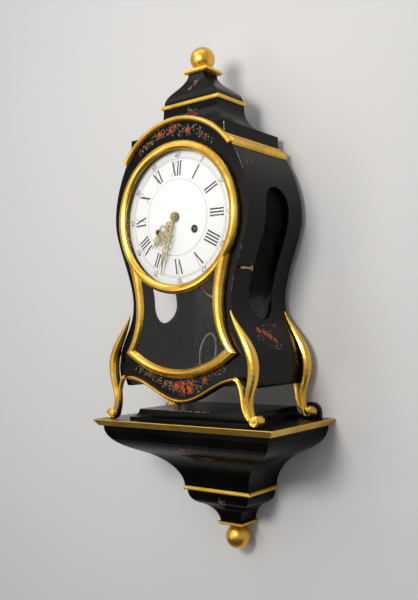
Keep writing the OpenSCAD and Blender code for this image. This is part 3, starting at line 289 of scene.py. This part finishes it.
LACQUER = lacquer("black_lacquer", shine=0.12)
DEEP_LACQUER = lacquer("deep_lacquer", shine=0.045)
GILT = gilding("burnished_gilding", low=0.20, high=0.31)
SATIN = gilding("satin_gilding", low=0.32, high=0.48, warm=0.02)
BALL_GILT = gilding("ball_gilding", low=0.31, high=0.40, warm=-0.02)
BRASS = metal("movement_brass", (0.62, 0.43, 0.16), (0.78, 0.58, 0.26), low=0.22, high=0.38)
HAND_GILT = metal("gilt_hands", (0.27, 0.22, 0.10), (0.52, 0.45, 0.25), low=0.30, high=0.44, scale=500)
STEEL = metal("steel", (0.24, 0.24, 0.25), (0.36, 0.36, 0.37), low=0.25, high=0.42)
DARK_STEEL = metal("key_steel", (0.08, 0.08, 0.08), (0.15, 0.15, 0.15), low=0.28, high=0.42)
DARK_BRASS = metal("nut_brass", (0.15, 0.13, 0.06), (0.30, 0.26, 0.12), low=0.32, high=0.48)
RED_BRASS = metal("catch_brass", (0.38, 0.22, 0.13), (0.56, 0.35, 0.22), low=0.3, high=0.45)
BLACK_METAL = metal("blackened_hinges", (0.014, 0.012, 0.010), (0.030, 0.026, 0.020), low=0.40, high=0.52)
ENAMEL = enamel()
# Bare wood whose dark tones also stand in for the shade inside the case
WOOD_WITH_PAINTED_SHADE = bare_wood()
GLASS = glass("clear_glass", ior=1.07, dust=0.016)
SIDE_GLASS = glass("side_glass", ior=1.06, dust=0.001)
BLACK = paint("dial_black", (0.012, 0.012, 0.014), (0.03, 0.03, 0.034))
GREY = paint("dial_grey", (0.24, 0.235, 0.23), (0.36, 0.35, 0.34))
INK = {
    "deep": paint("rose_deep", (0.060, 0.006, 0.005), (0.12, 0.014, 0.009)),
    "red": paint("rose_red", (0.20, 0.020, 0.010), (0.32, 0.045, 0.020)),
    "coral": paint("rose_coral", (0.32, 0.065, 0.022), (0.44, 0.125, 0.045)),
    "pale": paint("rose_pale", (0.35, 0.115, 0.050), (0.45, 0.18, 0.085)),
    "leaf": paint("leaf_green", (0.020, 0.055, 0.026), (0.060, 0.115, 0.050)),
    "sage": paint("leaf_sage", (0.09, 0.14, 0.09), (0.20, 0.25, 0.17)),
    "ochre": paint("ochre", (0.20, 0.13, 0.045), (0.34, 0.24, 0.10)),
    "cream": paint("cream", (0.42, 0.41, 0.32), (0.60, 0.58, 0.46)),
}


# Each CAD piece takes its slot's material, apart from the pieces with a look of their own
LOOK_OF_SLOT = {"lacquer": LACQUER, "gilding": GILT, "bare_wood": WOOD_WITH_PAINTED_SHADE, "steel": STEEL, "glass": GLASS,
    "brass": BRASS, "hand_gilt": HAND_GILT, "enamel": ENAMEL}
OWN_LOOKS = [
    (SATIN, ["cornice_moulding", "arch_moulding", "hood_band", "hood_cap", "bracket_edge_moulding",
        "bracket_band", "bracket_cap"]),
    (BALL_GILT, ["hood_ball", "bracket_ball"]),
    (DEEP_LACQUER, ["bracket_upper_body", "bracket_lower_body"]),
    (RED_BRASS, ["door_catch", "catch_staple"]),
    (DARK_STEEL, ["winding_key", "going_arbor", "strike_arbor"]),
    (DARK_BRASS, ["hand_nut"]),
    (SIDE_GLASS, ["side_panes"]),
    (BLACK_METAL, ["door_hinges", "door_hinge_leaves"]),
]
own_look = {name: mat for mat, names in OWN_LOOKS for name in names}
for row in frame["record"]["subparts"]:
    piece = nodes[row["node"]]
    mat = own_look.get(row["node"], LOOK_OF_SLOT[row["material_slot"]])
    if not piece.material_slots:
        piece.data.materials.append(mat)
    for slot in piece.material_slots:
        slot.material = mat


# A piece made of flat shapes, each with its own material
class Flat:
    def __init__(self, name, node, slot="lacquer"):
        self.name, self.body, self.slot = name, body_of_node[node], slot
        self.points, self.faces, self.mats, self.mat_of_face = [], [], [], []

    def face(self, corners, mat):
        if mat not in self.mats:
            self.mats.append(mat)
        first = len(self.points)
        self.points.extend(tuple(corner) for corner in corners)
        self.faces.append(tuple(range(first, first + len(corners))))
        self.mat_of_face.append(self.mats.index(mat))

    def build(self):
        mesh = bpy.data.meshes.new(self.name)
        mesh.from_pydata(self.points, [], self.faces)
        for mat in self.mats:
            mesh.materials.append(mat)
        for polygon, index in zip(mesh.polygons, self.mat_of_face):
            polygon.material_index = index
        piece = bpy.data.objects.new(self.name, mesh)
        bpy.context.collection.objects.link(piece)
        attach(piece, self.body)


# The surface of a CAD piece, for rays to meet
def surface_of(node):
    mesh = nodes[node].data
    return BVHTree.FromPolygons([v.co for v in mesh.vertices], [p.vertices for p in mesh.polygons])


# Dial markings, drawn in millimetres from the dial's centre and laid on its bulge
MARK_LIFT, RING_LIFT = 0.12, 0.14
DIAL_RAY_START, INTO_DIAL = 20 * MM, Vector((0, 1, 0))
INNER_RING_R, INNER_RING_WIDE = 47.1, 0.42
TRACK_R, TRACK_HALF, TRACK_RING_WIDE = 73.2, 0.9, 0.34
HOUR_TICK, MINUTE_TICK = 0.8, 0.32
RING_SIDES = 180
STROKE_PIECE = 5
dial_low, dial_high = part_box("dial")
dial_centre = (dial_low + dial_high) / 2
dial_surface = surface_of("dial")
marks = Flat("dial_markings", "dial", "enamel")


def on_dial(u, v, lift=MARK_LIFT):
    x, z = dial_centre.x + u * MM, dial_centre.z + v * MM
    hit = dial_surface.ray_cast(Vector((x, dial_low.y - DIAL_RAY_START, z)), INTO_DIAL)[0]
    return Vector((x, hit.y - lift * MM, z))


def ring(radius, width):
    inner, outer = radius - width / 2, radius + width / 2
    for i in range(RING_SIDES):
        start, end = math.radians(360 * i / RING_SIDES), math.radians(360 * (i + 1) / RING_SIDES)
        corners = ((outer, start), (outer, end), (inner, end), (inner, start))
        marks.face([on_dial(r * math.sin(a), r * math.cos(a), RING_LIFT) for r, a in corners], GREY)


# Places on the dial as seen from a radius, with u across it and v outwards
def radial(angle, radius):
    sine, cosine = math.sin(math.radians(angle)), math.cos(math.radians(angle))

    def place(u, v):
        r = radius + v
        return on_dial(r * sine + u * cosine, r * cosine - u * sine)
    return place


# A straight stroke, cut into short pieces so that it follows the bulge
def stroke(start, end, start_wide, end_wide, place, mat=BLACK):
    run, rise = end[0] - start[0], end[1] - start[1]
    length = math.hypot(run, rise)
    side_x, side_y = -rise / length / 2, run / length / 2
    pieces = max(1, math.ceil(length / STROKE_PIECE))
    for k in range(pieces):
        s, t = k / pieces, (k + 1) / pieces
        corners = []
        for share, side in ((s, 1), (s, -1), (t, -1), (t, 1)):
            half = side * (start_wide + (end_wide - start_wide) * share)
            x, y = start[0] + run * share, start[1] + rise * share
            corners.append(place(x + side_x * half, y + side_y * half))
        marks.face(corners, mat)


# Hour numerals, in millimetres, with heights as shares of half the numeral's height
ROMAN = ["XII", "I", "II", "III", "IIII", "V", "VI", "VII", "VIII", "IX", "X", "XI"]
NUMERAL_R, NUMERAL_HALF = 60.5, 9.0
THICK, TAPERED, STEM, HAIR, SERIF = 2.1, 1.6, 1.9, 0.45, 0.4
# A stroke is its start, its end and the width at both, and a serif is its middle and half its length
LETTERS = {
    "I": {"wide": 3.9, "strokes": [((0, -1), (0, 1), STEM, STEM)], "serifs": [(0, -1, 1.8), (0, 1, 1.8)]},
    "V": {"wide": 8.0, "strokes": [((-2.6, 1), (0.4, -1), THICK, TAPERED), ((2.8, 1), (0.4, -1), HAIR, HAIR)],
        "serifs": [(-2.7, 1, 1.3), (2.7, 1, 1.3)]},
    "X": {"wide": 8.4, "strokes": [((-2.7, 1), (2.7, -1), THICK, THICK), ((2.7, 1), (-2.7, -1), HAIR, HAIR)],
        "serifs": [(-2.7, -1, 1.3), (-2.7, 1, 1.3), (2.7, -1, 1.3), (2.7, 1, 1.3)]},
}
for hour, numeral in enumerate(ROMAN):
    place = radial(hour * 30, NUMERAL_R)
    left = -sum(LETTERS[letter]["wide"] for letter in numeral) / 2
    for letter in numeral:
        form = LETTERS[letter]
        middle = left + form["wide"] / 2
        for (x0, y0), (x1, y1), wide0, wide1 in form["strokes"]:
            stroke((middle + x0, y0 * NUMERAL_HALF), (middle + x1, y1 * NUMERAL_HALF), wide0, wide1, place)
        for x, y, reach in form["serifs"]:
            height = y * NUMERAL_HALF
            stroke((middle + x - reach, height), (middle + x + reach, height), SERIF, SERIF, place)
        left += form["wide"]

# Rings and the minute track
ring(INNER_RING_R, INNER_RING_WIDE)
ring(TRACK_R - TRACK_HALF, TRACK_RING_WIDE)
ring(TRACK_R + TRACK_HALF, TRACK_RING_WIDE)
for minute in range(60):
    wide, mat = (MINUTE_TICK, GREY) if minute % 5 else (HOUR_TICK, BLACK)
    stroke((0, -TRACK_HALF), (0, TRACK_HALF), wide, wide, radial(minute * 6, TRACK_R), mat)

# Minute figures as thin strokes in a box two wide and three high
FIGURES = {
    "0": [(0, 1), (0.3, 0.1), (1, 0), (1.7, 0.1), (2, 1), (2, 2), (1.7, 2.9), (1, 3), (0.3, 2.9), (0, 2),
        (0, 1)],
    "1": [(0.4, 2.4), (1.1, 3), (1.1, 0)],
    "2": [(0.1, 2.3), (0.5, 2.9), (1.4, 2.9), (1.9, 2.2), (1.4, 1.4), (0.1, 0), (2, 0)],
    "3": [(0.1, 2.8), (1.3, 3), (1.9, 2.3), (1.2, 1.6), (2, 0.8), (1.2, 0), (0.1, 0.2)],
    "4": [(1.5, 0), (1.5, 3), (0, 0.9), (2, 0.9)],
    "5": [(1.8, 3), (0.4, 3), (0.3, 1.7), (1.4, 1.8), (2, 1), (1.3, 0), (0.1, 0.1)],
    "6": [(1.7, 3), (0.5, 2.2), (0.1, 1), (0.8, 0), (1.7, 0.2), (1.9, 1.1), (1, 1.7), (0.2, 1.2)],
}
FIGURE_R, FIGURE_SIZE, FIGURE_WIDE = 75.3, 1.7, 0.75
FIGURE_SLANT, FIGURE_PITCH, FIGURE_GAP = 0.12, 2.5, 0.5
for step in range(12):
    figures = str(step * 5 if step else 60)
    place = radial(step * 30, FIGURE_R)
    left = -(len(figures) * FIGURE_PITCH - FIGURE_GAP) / 2
    for figure in figures:
        line = [((left + x + y * FIGURE_SLANT) * FIGURE_SIZE, y * FIGURE_SIZE) for x, y in FIGURES[figure]]
        for start, end in zip(line, line[1:]):
            stroke(start, end, FIGURE_WIDE, FIGURE_WIDE, place)
        left += FIGURE_PITCH
marks.build()


# Painted flowers: a brush that lays flat marks on a CAD surface, in millimetres from where it stands
FIRST_LAYER, LAYER_STEP = 0.08, 0.045
BRUSH_RAY_START = 12 * MM
PETAL_CORNERS, PETAL_WOBBLE = 10, 0.12
OUTER_PETALS, INNER_PETALS = 6, 4
STEM_PARTS, STEM_WIDE, STEM_BOW = 6, 0.28, 0.12
LEAVES_BELOW, DOTS_BELOW = 0.55, 0.85
SPRAY_INNER, SPRAY_FLAT = 0.45, 0.75
SHORTEST_LEAF, LONGEST_LEAF, LEAF_TURN = 2.0, 3.6, math.radians(50)
DOT_LENGTH, DOT_WIDTH, SMALL_BUD_R = 1.2, 1.0, 0.9
DOT_INKS = ("cream", "ochre", "sage")
GREENS, MIXED, AUTUMN = ("leaf", "sage", "sage"), ("leaf", "sage", "ochre"), ("leaf", "ochre", "ochre")


class Brush:
    def __init__(self, name, node, seed):
        self.flat = Flat(name, node)
        self.surface = surface_of(node)
        self.random = random.Random(seed)

    # Puts the brush where the photograph shows a pixel on the surface
    def move(self, px, py):
        hit, normal, _, _ = self.surface.ray_cast(EYE, pixel_ray(px, py))
        if hit is None:
            raise RuntimeError(self.flat.name + " has no surface at that place")
        self.at = hit
        self.out = normal if normal.dot(EYE - hit) > 0 else -normal
        self.across = Vector((0, 0, 1)).cross(self.out).normalized()
        self.up = self.out.cross(self.across).normalized()

    def point(self, a, b, lift):
        over = self.at + self.across * (a * MM) + self.up * (b * MM)
        hit, normal, _, _ = self.surface.ray_cast(over + self.out * BRUSH_RAY_START, -self.out)
        if hit is None:
            return None
        outward = normal if normal.dot(self.out) > 0 else -normal
        return hit + outward * (lift * MM)

    # A mark that would reach past the surface is left out
    def mark(self, outline, ink, layer):
        corners = [self.point(a, b, FIRST_LAYER + LAYER_STEP * layer) for a, b in outline]
        if all(corner is not None for corner in corners):
            self.flat.face(corners, INK[ink])

    # An oval with an uneven edge; taper draws its far end to a point
    def petal(self, a, b, length, width, angle, ink, layer, taper=0.0):
        sine, cosine = math.sin(angle), math.cos(angle)
        outline = []
        for i in range(PETAL_CORNERS):
            t = 2 * math.pi * i / PETAL_CORNERS
            x = length / 2 * math.cos(t)
            y = width / 2 * math.sin(t) * (1 - taper * max(0.0, math.cos(t)))
            wobble = 1 + self.random.uniform(-PETAL_WOBBLE, PETAL_WOBBLE)
            outline.append((a + (x * cosine - y * sine) * wobble, b + (x * sine + y * cosine) * wobble))
        self.mark(outline, ink, layer)

    # A dark ground, six outer petals, four inner ones, a light edge and a dark heart, sized by the radius
    def rose(self, a, b, r, ink="red"):
        self.petal(a, b, 2 * r, 1.9 * r, 0, "deep", 1)
        for i in range(OUTER_PETALS):
            t = 2 * math.pi * i / OUTER_PETALS + self.random.uniform(-0.3, 0.3)
            x, y = a + 0.62 * r * math.cos(t), b + 0.62 * r * math.sin(t)
            self.petal(x, y, 0.95 * r, 0.62 * r, t + 1.4, ink, 2)
        inner_ink = "coral" if ink == "red" else "pale"
        for i in range(INNER_PETALS):
            t = 2 * math.pi * i / INNER_PETALS + 0.5
            x, y = a + 0.3 * r * math.cos(t), b + 0.3 * r * math.sin(t)
            self.petal(x, y, 0.62 * r, 0.34 * r, t + 1.5, inner_ink, 3)
        self.petal(a - 0.3 * r, b + 0.45 * r, 0.7 * r, 0.24 * r, 0.6, "pale", 4)
        self.petal(a, b, 0.36 * r, 0.3 * r, 0, "deep", 4)

    def bud(self, a, b, r, angle=0.0, ink="red"):
        self.petal(a, b, 2 * r, 1.4 * r, angle, ink, 2, taper=0.4)
        self.petal(a + 0.3 * r, b + 0.2 * r, 0.9 * r, 0.5 * r, angle, "coral", 3)

    # A pointed leaf that starts at its stalk, with an ochre rib
    def leaf(self, a, b, length, angle, ink):
        x, y = a + length / 2 * math.cos(angle), b + length / 2 * math.sin(angle)
        self.petal(x, y, length, length * 0.42, angle, ink, 1, taper=0.7)
        self.petal(x, y, length * 0.7, length * 0.08, angle, "ochre", 2)

    # A thin bowed stem of short straight marks
    def stem(self, start, end, ink="ochre"):
        run, rise = end[0] - start[0], end[1] - start[1]
        line = []
        for i in range(STEM_PARTS + 1):
            share = i / STEM_PARTS
            bow = STEM_BOW * math.sin(math.pi * share)
            line.append((start[0] + run * share - rise * bow, start[1] + rise * share + run * bow))
        for (x0, y0), (x1, y1) in zip(line, line[1:]):
            length = math.hypot(x1 - x0, y1 - y0)
            side_x, side_y = (y0 - y1) / length * STEM_WIDE / 2, (x1 - x0) / length * STEM_WIDE / 2
            self.mark([(x0 + side_x, y0 + side_y), (x0 - side_x, y0 - side_y),
                (x1 - side_x, y1 - side_y), (x1 + side_x, y1 + side_y)], ink, 0)

    # Leaves, dots and small buds, strewn in an oval round the brush
    def spray(self, spread, count, inks=MIXED):
        for _ in range(count):
            t = self.random.uniform(0, 2 * math.pi)
            r = spread * self.random.uniform(SPRAY_INNER, 1.0)
            x, y = r * math.cos(t), SPRAY_FLAT * r * math.sin(t)
            kind = self.random.random()
            if kind < LEAVES_BELOW:
                length = self.random.uniform(SHORTEST_LEAF, LONGEST_LEAF)
                angle = t + self.random.uniform(-LEAF_TURN, LEAF_TURN)
                self.leaf(x, y, length, angle, self.random.choice(inks))
            elif kind < DOTS_BELOW:
                self.petal(x, y, DOT_LENGTH, DOT_WIDTH, t, self.random.choice(DOT_INKS), 2)
            else:
                self.bud(x, y, SMALL_BUD_R, t)

    def done(self):
        self.flat.build()


# Garlands on the front panel: pixels of the photograph, with the size and the ink where a flower has its own
ARCH = {
    "leaves": [(180.8, 128.6, 5.5), (181, 133.5, 4.0), (194.7, 127.5, 4.5), (166, 133, 4.5),
        (155.5, 138.5, 4.5)],
    "roses": [(160.2, 135.3, 5.0), (170.8, 131.4, 4.4), (174.9, 126.6, 3.5), (188, 129.8, 4.8)],
    "buds": [(151, 143, 2.8, "red"), (199.3, 131, 2.3, "deep"), (202.3, 134, 2.1, "deep"),
        (206, 137, 2.2, "deep"), (147, 146, 1.5, "red")],
    "tips": [(144.5, 148.5), (141.5, 151.5), (138.8, 155.2), (211, 139.5)],
    "leaf_count": 13, "rose_leaves": 15,
    "bud_spread": 5.0, "bud_angle": 0.5,
    "tip_spread": 3.4, "tip_leaves": 6,
}
APRON = {
    "leaves": [(190.6, 380.8, 4), (196.5, 384, 4.5), (171.5, 384, 4.5), (182, 393.5, 5), (172, 390.5, 3.5),
        (198.5, 389, 4)],
    "roses": [(183.5, 384.5, 5.0), (191.5, 384.5, 4.4), (177.2, 386.6, 6.2), (189.8, 389.2, 6.8),
        (183.6, 389.5, 5.6), (205, 380, 4.6), (165.6, 383.7, 3.4)],
    "buds": [(158.9, 380, 2.4, "red"), (212.3, 373.8, 2.0, "deep"), (217.5, 372.3, 1.5, "deep"),
        (152.8, 376.9, 1.4, "red")],
    "tips": [(150.5, 376), (146.7, 373.3), (141.8, 371), (138, 367.6), (222.3, 370)],
    "leaf_count": 10, "rose_leaves": 12,
    "bud_spread": 5.2, "bud_angle": 0.8,
    "tip_spread": 3.6, "tip_leaves": 7,
}
ROSE_SPREAD, BUD_LEAVES = 8.0, 9


def garland(name, seed, plan):
    brush = Brush(name, "case_front_panel", seed)
    for px, py, spread in plan["leaves"]:
        brush.move(px, py)
        brush.spray(spread, plan["leaf_count"], GREENS)
    for px, py, r in plan["roses"]:
        brush.move(px, py)
        brush.spray(ROSE_SPREAD, plan["rose_leaves"])
        brush.rose(0, 0, r)
    for px, py, r, ink in plan["buds"]:
        brush.move(px, py)
        brush.spray(plan["bud_spread"], BUD_LEAVES)
        brush.bud(0, 0, r, plan["bud_angle"], ink)
    for px, py in plan["tips"]:
        brush.move(px, py)
        brush.spray(plan["tip_spread"], plan["tip_leaves"])
    brush.done()


garland("garland_arch", seed=3, plan=ARCH)

# Roses on the hood
COVE_ROSE = (190.6, 113.3)
OGEE_ROSE, OGEE_BUDS = (195.6, 82.5), (189.6, 89.0)
brush = Brush("flowers_hood_cove", "hood_cove", seed=5)
brush.move(*COVE_ROSE)
brush.spray(spread=10, count=18)
brush.rose(0, 0, r=4.9, ink="coral")
brush.bud(-7, -0.5, r=1.8)
brush.stem((3, 1), (10, 4), "sage")
brush.done()
brush = Brush("flowers_hood_ogee", "hood_ogee", seed=8)
brush.move(*OGEE_ROSE)
brush.stem((-9, -9), (6, 6))
brush.spray(spread=5.5, count=9)
brush.rose(0, 0.5, r=3.0)
brush.move(*OGEE_BUDS)
brush.spray(spread=4.5, count=8, inks=AUTUMN)
brush.bud(0, 0, r=2.4, angle=0.4, ink="coral")
brush.bud(1.5, 1.8, r=1.6, angle=0.9, ink="deep")
brush.done()

garland("garland_apron", seed=11, plan=APRON)

# Bouquet and spray on the right side
SIDE_LEAVES = [(267, 328.5, 9), (275, 328.5, 7), (273.5, 343.5, 8), (279, 346, 6.5), (261, 338, 7)]
SIDE_ROSES = [(258.8, 330.5, 6.6), (264.8, 333, 6.6), (270, 336.4, 7.2), (275.6, 340.6, 5.4)]
SIDE_TOP_BUD = (248.8, 160)
brush = Brush("bouquet_side", "case_right_side", seed=21)
for px, py, spread in SIDE_LEAVES:
    brush.move(px, py)
    brush.spray(spread, count=16, inks=("leaf", "leaf", "sage", "ochre"))
for px, py, r in SIDE_ROSES:
    brush.move(px, py)
    brush.rose(0, 0, r, "deep")
brush.done()
brush = Brush("spray_side_top", "case_right_side", seed=23)
brush.move(*SIDE_TOP_BUD)
brush.stem((-7, -9), (4, 8))
brush.spray(spread=8, count=15, inks=AUTUMN)
brush.bud(0, 0, r=3.4, angle=0.6, ink="deep")
brush.done()

# Flowers on the bracket: the pixel, the leaves, the rose's radius, and the place and radius of its bud
BRACKET_ROSES = [((182.8, 450.5), 20, 6.6, (8, -5, 3.0)), ((208, 459), 16, 6.4, (-9, 3, 3.6))]
BRACKET_LOW_ROSE = (221, 502.5)
brush = Brush("flowers_bracket", "bracket_upper_body", seed=31)
for pixel, leaves, r, bud in BRACKET_ROSES:
    brush.move(*pixel)
    brush.spray(spread=12, count=leaves, inks=AUTUMN)
    brush.rose(0, 0, r, ink="deep")
    brush.bud(*bud, angle=0.3, ink="deep")
brush.done()
brush = Brush("flowers_bracket_low", "bracket_lower_body", seed=37)
brush.move(*BRACKET_LOW_ROSE)
brush.spray(spread=7, count=10, inks=AUTUMN)
brush.rose(0, 0, r=4.4, ink="deep")
brush.done()


# Wear, where the lacquer is chipped to its pale ground; on the arris and on the plinth's edge these pale
# chips also paint the highlight of the glossy edge. A chip stands a little off its edge
CHIP_OFF, FLUSH = 0.06 * MM, 0.1 * MM
EDGE_FROM = 0.074
ARRIS_FOOT, ARRIS_TOP, ARRIS_SEED = 0.175, 0.352, 5
ARRIS_CHIP, ARRIS_GAP = (1.2 * MM, 6 * MM), (0.0, 1.5 * MM)
NARROW_CHIP, WIDE_CHIP = (0.25 * MM, 0.75 * MM), (0.8 * MM, 1.3 * MM)
NARROW_SHARE, CHIPPED_SHARE = 0.75, 0.86
PLINTH_FROM, PLINTH_TO, PLINTH_SEED = -0.032, 0.030, 9
PLINTH_CHIP, PLINTH_GAP, PLINTH_WIDE = (1.5 * MM, 7 * MM), (0.5 * MM, 5 * MM), (0.25 * MM, 0.7 * MM)


# How far out the panel's edge is at a height, or None beyond its ends
def edge_at(profile, height):
    for (z0, x0), (z1, x1) in zip(profile, profile[1:]):
        if z0 <= height <= z1:
            return x0 + (x1 - x0) * (height - z0) / (z1 - z0)
    return None


# Pale chips along the right front arris of the case: lacquer worn to its ground, and a painted highlight
# along the rounded edge
def worn_arris():
    corners = [v.co for v in nodes["case_front_panel"].data.vertices]
    front = min(c.y for c in corners)
    edge = {}
    for c in corners:
        if c.x > EDGE_FROM and c.y < front + FLUSH:
            height = round(c.z, 4)
            edge[height] = max(edge.get(height, 0.0), c.x)
    profile = sorted(edge.items())
    draw = random.Random(ARRIS_SEED)
    chips = Flat("worn_arris", "case_front_panel")
    z = ARRIS_FOOT
    while z < ARRIS_TOP:
        long = draw.uniform(*ARRIS_CHIP)
        widths = NARROW_CHIP if draw.random() < NARROW_SHARE else WIDE_CHIP
        wide = draw.uniform(*widths)
        low, high = edge_at(profile, z), edge_at(profile, z + long)
        if draw.random() < CHIPPED_SHARE and low and high:
            x0, x1, end = low + CHIP_OFF, high + CHIP_OFF, z + long
            chips.face([(x0, front - CHIP_OFF, z), (x0, front + wide, z), (x1, front + wide * 0.7, end),
                (x1, front - CHIP_OFF, end)], INK["cream"])
        z += long + draw.uniform(*ARRIS_GAP)
    chips.build()


# Pale chips along the upper front edge of the plinth, each on its front and its top: worn ground, and a
# painted highlight along the glossy edge
def worn_plinth():
    corners = [v.co for v in nodes["bracket_plinth"].data.vertices]
    top = max(c.z for c in corners)
    front = min(c.y for c in corners if c.z > top - FLUSH)
    draw = random.Random(PLINTH_SEED)
    chips = Flat("worn_plinth", "bracket_plinth")
    x = PLINTH_FROM
    while x < PLINTH_TO:
        end = x + draw.uniform(*PLINTH_CHIP)
        wide = draw.uniform(*PLINTH_WIDE)
        edge = [(end, front - CHIP_OFF, top + CHIP_OFF), (x, front - CHIP_OFF, top + CHIP_OFF)]
        down = [(x, front - CHIP_OFF, top - wide * 0.6), (end, front - CHIP_OFF, top - wide * 0.4)]
        back = [(end, front + wide, top + CHIP_OFF), (x, front + wide * 0.7, top + CHIP_OFF)]
        chips.face(down + edge, INK["cream"])
        chips.face(edge[::-1] + back, INK["cream"])
        x = end + draw.uniform(*PLINTH_GAP)
    chips.build()


# Single rubbed spots at pixels of the photograph, each with its size
def rubbed(name, node, seed, spots, length, width, angle):
    brush = Brush(name, node, seed)
    for px, py, size in spots:
        brush.move(px, py)
        brush.petal(0, 0, length * size, width * size, angle, "cream", 1)
    brush.done()


STRIP_SPOTS = [(228, 431.6, 0.9), (236.5, 432.5, 0.6), (246, 434, 0.8), (257, 435.4, 0.5), (270, 437.5, 1.0)]
CORNER_SPOTS = [(223.9, 122.5, 1.1), (224.0, 125.8, 0.8), (224.1, 128.6, 0.9)]
# Pale marks along the arris and the plinth's edge: worn ground and painted highlight
worn_arris()
worn_plinth()
rubbed("worn_strip", "bracket_edge_moulding", seed=41, spots=STRIP_SPOTS, length=2.4, width=1.1, angle=0.1)
rubbed("worn_corner", "case_front_panel", seed=43, spots=CORNER_SPOTS, length=1.0, width=3.6, angle=0.05)


# Stage: a wall just behind the clock and a floor far below it
FLOOR_Z, WALL_TOP, STAGE_HALF, FLOOR_REACH = -1.3, 3, 4, 5
WALL_GAP = 0.4 * MM
WALL_Y = cad_box[1].y + WALL_GAP


def stage_look(name, tone):
    dark, light = tuple(c * 0.985 for c in tone), tuple(c * 1.01 for c in tone)
    look = Look(name)
    look.colour(look.blend(look.noise(scale=1.2, detail=3), dark, light))
    look.set(Roughness=0.9)
    look.bump(look.noise(scale=60, detail=4), strength=0.10, distance=2 * MM)
    return look


def plane(name, corners, mat):
    mesh = bpy.data.meshes.new(name)
    mesh.from_pydata(corners, [], [(0, 1, 2, 3)])
    mesh.materials.append(mat)
    stage_piece = bpy.data.objects.new(name, mesh)
    bpy.context.collection.objects.link(stage_piece)


# The wall shows from its front only, so that the clock's back can be seen from behind
wall = stage_look("wall", (0.64, 0.625, 0.615))
behind = wall.node("ShaderNodeNewGeometry").outputs["Backfacing"]
nothing = wall.shader("ShaderNodeBsdfTransparent", (1, 1, 1))
wall.surface(wall.mixed(behind, wall.bsdf.outputs[0], nothing))
floor = stage_look("floor", (0.10, 0.097, 0.094))
plane("stage_wall", [(-STAGE_HALF, WALL_Y, FLOOR_Z), (STAGE_HALF, WALL_Y, FLOOR_Z),
    (STAGE_HALF, WALL_Y, WALL_TOP), (-STAGE_HALF, WALL_Y, WALL_TOP)], wall.mat)
plane("stage_floor", [(-STAGE_HALF, -FLOOR_REACH, FLOOR_Z), (STAGE_HALF, -FLOOR_REACH, FLOOR_Z),
    (STAGE_HALF, FLOOR_REACH, FLOOR_Z), (-STAGE_HALF, FLOOR_REACH, FLOOR_Z)], floor.mat)


# Light: a small key lamp in front, soft lights at the upper left, above and at the lower left, plain sky
def area(name, place, aim, size, power, tint=(1, 1, 1), shape="RECTANGLE"):
    data = bpy.data.lights.new(name, "AREA")
    data.shape = shape
    data.size, data.size_y = size
    data.energy = power
    data.color = tint
    lamp = bpy.data.objects.new(name, data)
    bpy.context.collection.objects.link(lamp)
    lamp.location = place
    lamp.rotation_euler = (Vector(aim) - Vector(place)).to_track_quat("-Z", "Y").to_euler()


KEY_TINT, SOFT_TINT = (1.0, 0.99, 0.975), (1.0, 0.99, 0.97)
area("key", place=(0.07, -1.15, 0.50), aim=(0.04, 0, 0.24), size=(0.36, 0.36), power=8.0,
    tint=KEY_TINT, shape="DISK")
area("fill", place=(-1.1, -1.6, 2.0), aim=(-0.2, 0, 0.2), size=(1.2, 1.2), power=10, tint=SOFT_TINT)
area("top", place=(0.4, -0.9, 2.2), aim=(0.1, -0.1, 0.3), size=(1.4, 0.8), power=5)
area("card", place=(-0.75, -1.35, 0.10), aim=(-0.15, 0, 0.15), size=(0.35, 1.2), power=2.6, tint=SOFT_TINT)
SKY_TINT, SKY_STRENGTH = (0.80, 0.81, 0.83, 1), 0.62
world = bpy.data.worlds.new("studio")
bpy.context.scene.world = world
world.use_nodes = True
sky = world.node_tree.nodes["Background"]
sky.inputs["Color"].default_value = SKY_TINT
sky.inputs["Strength"].default_value = SKY_STRENGTH
bpy.context.scene.view_settings.view_transform = "Standard"
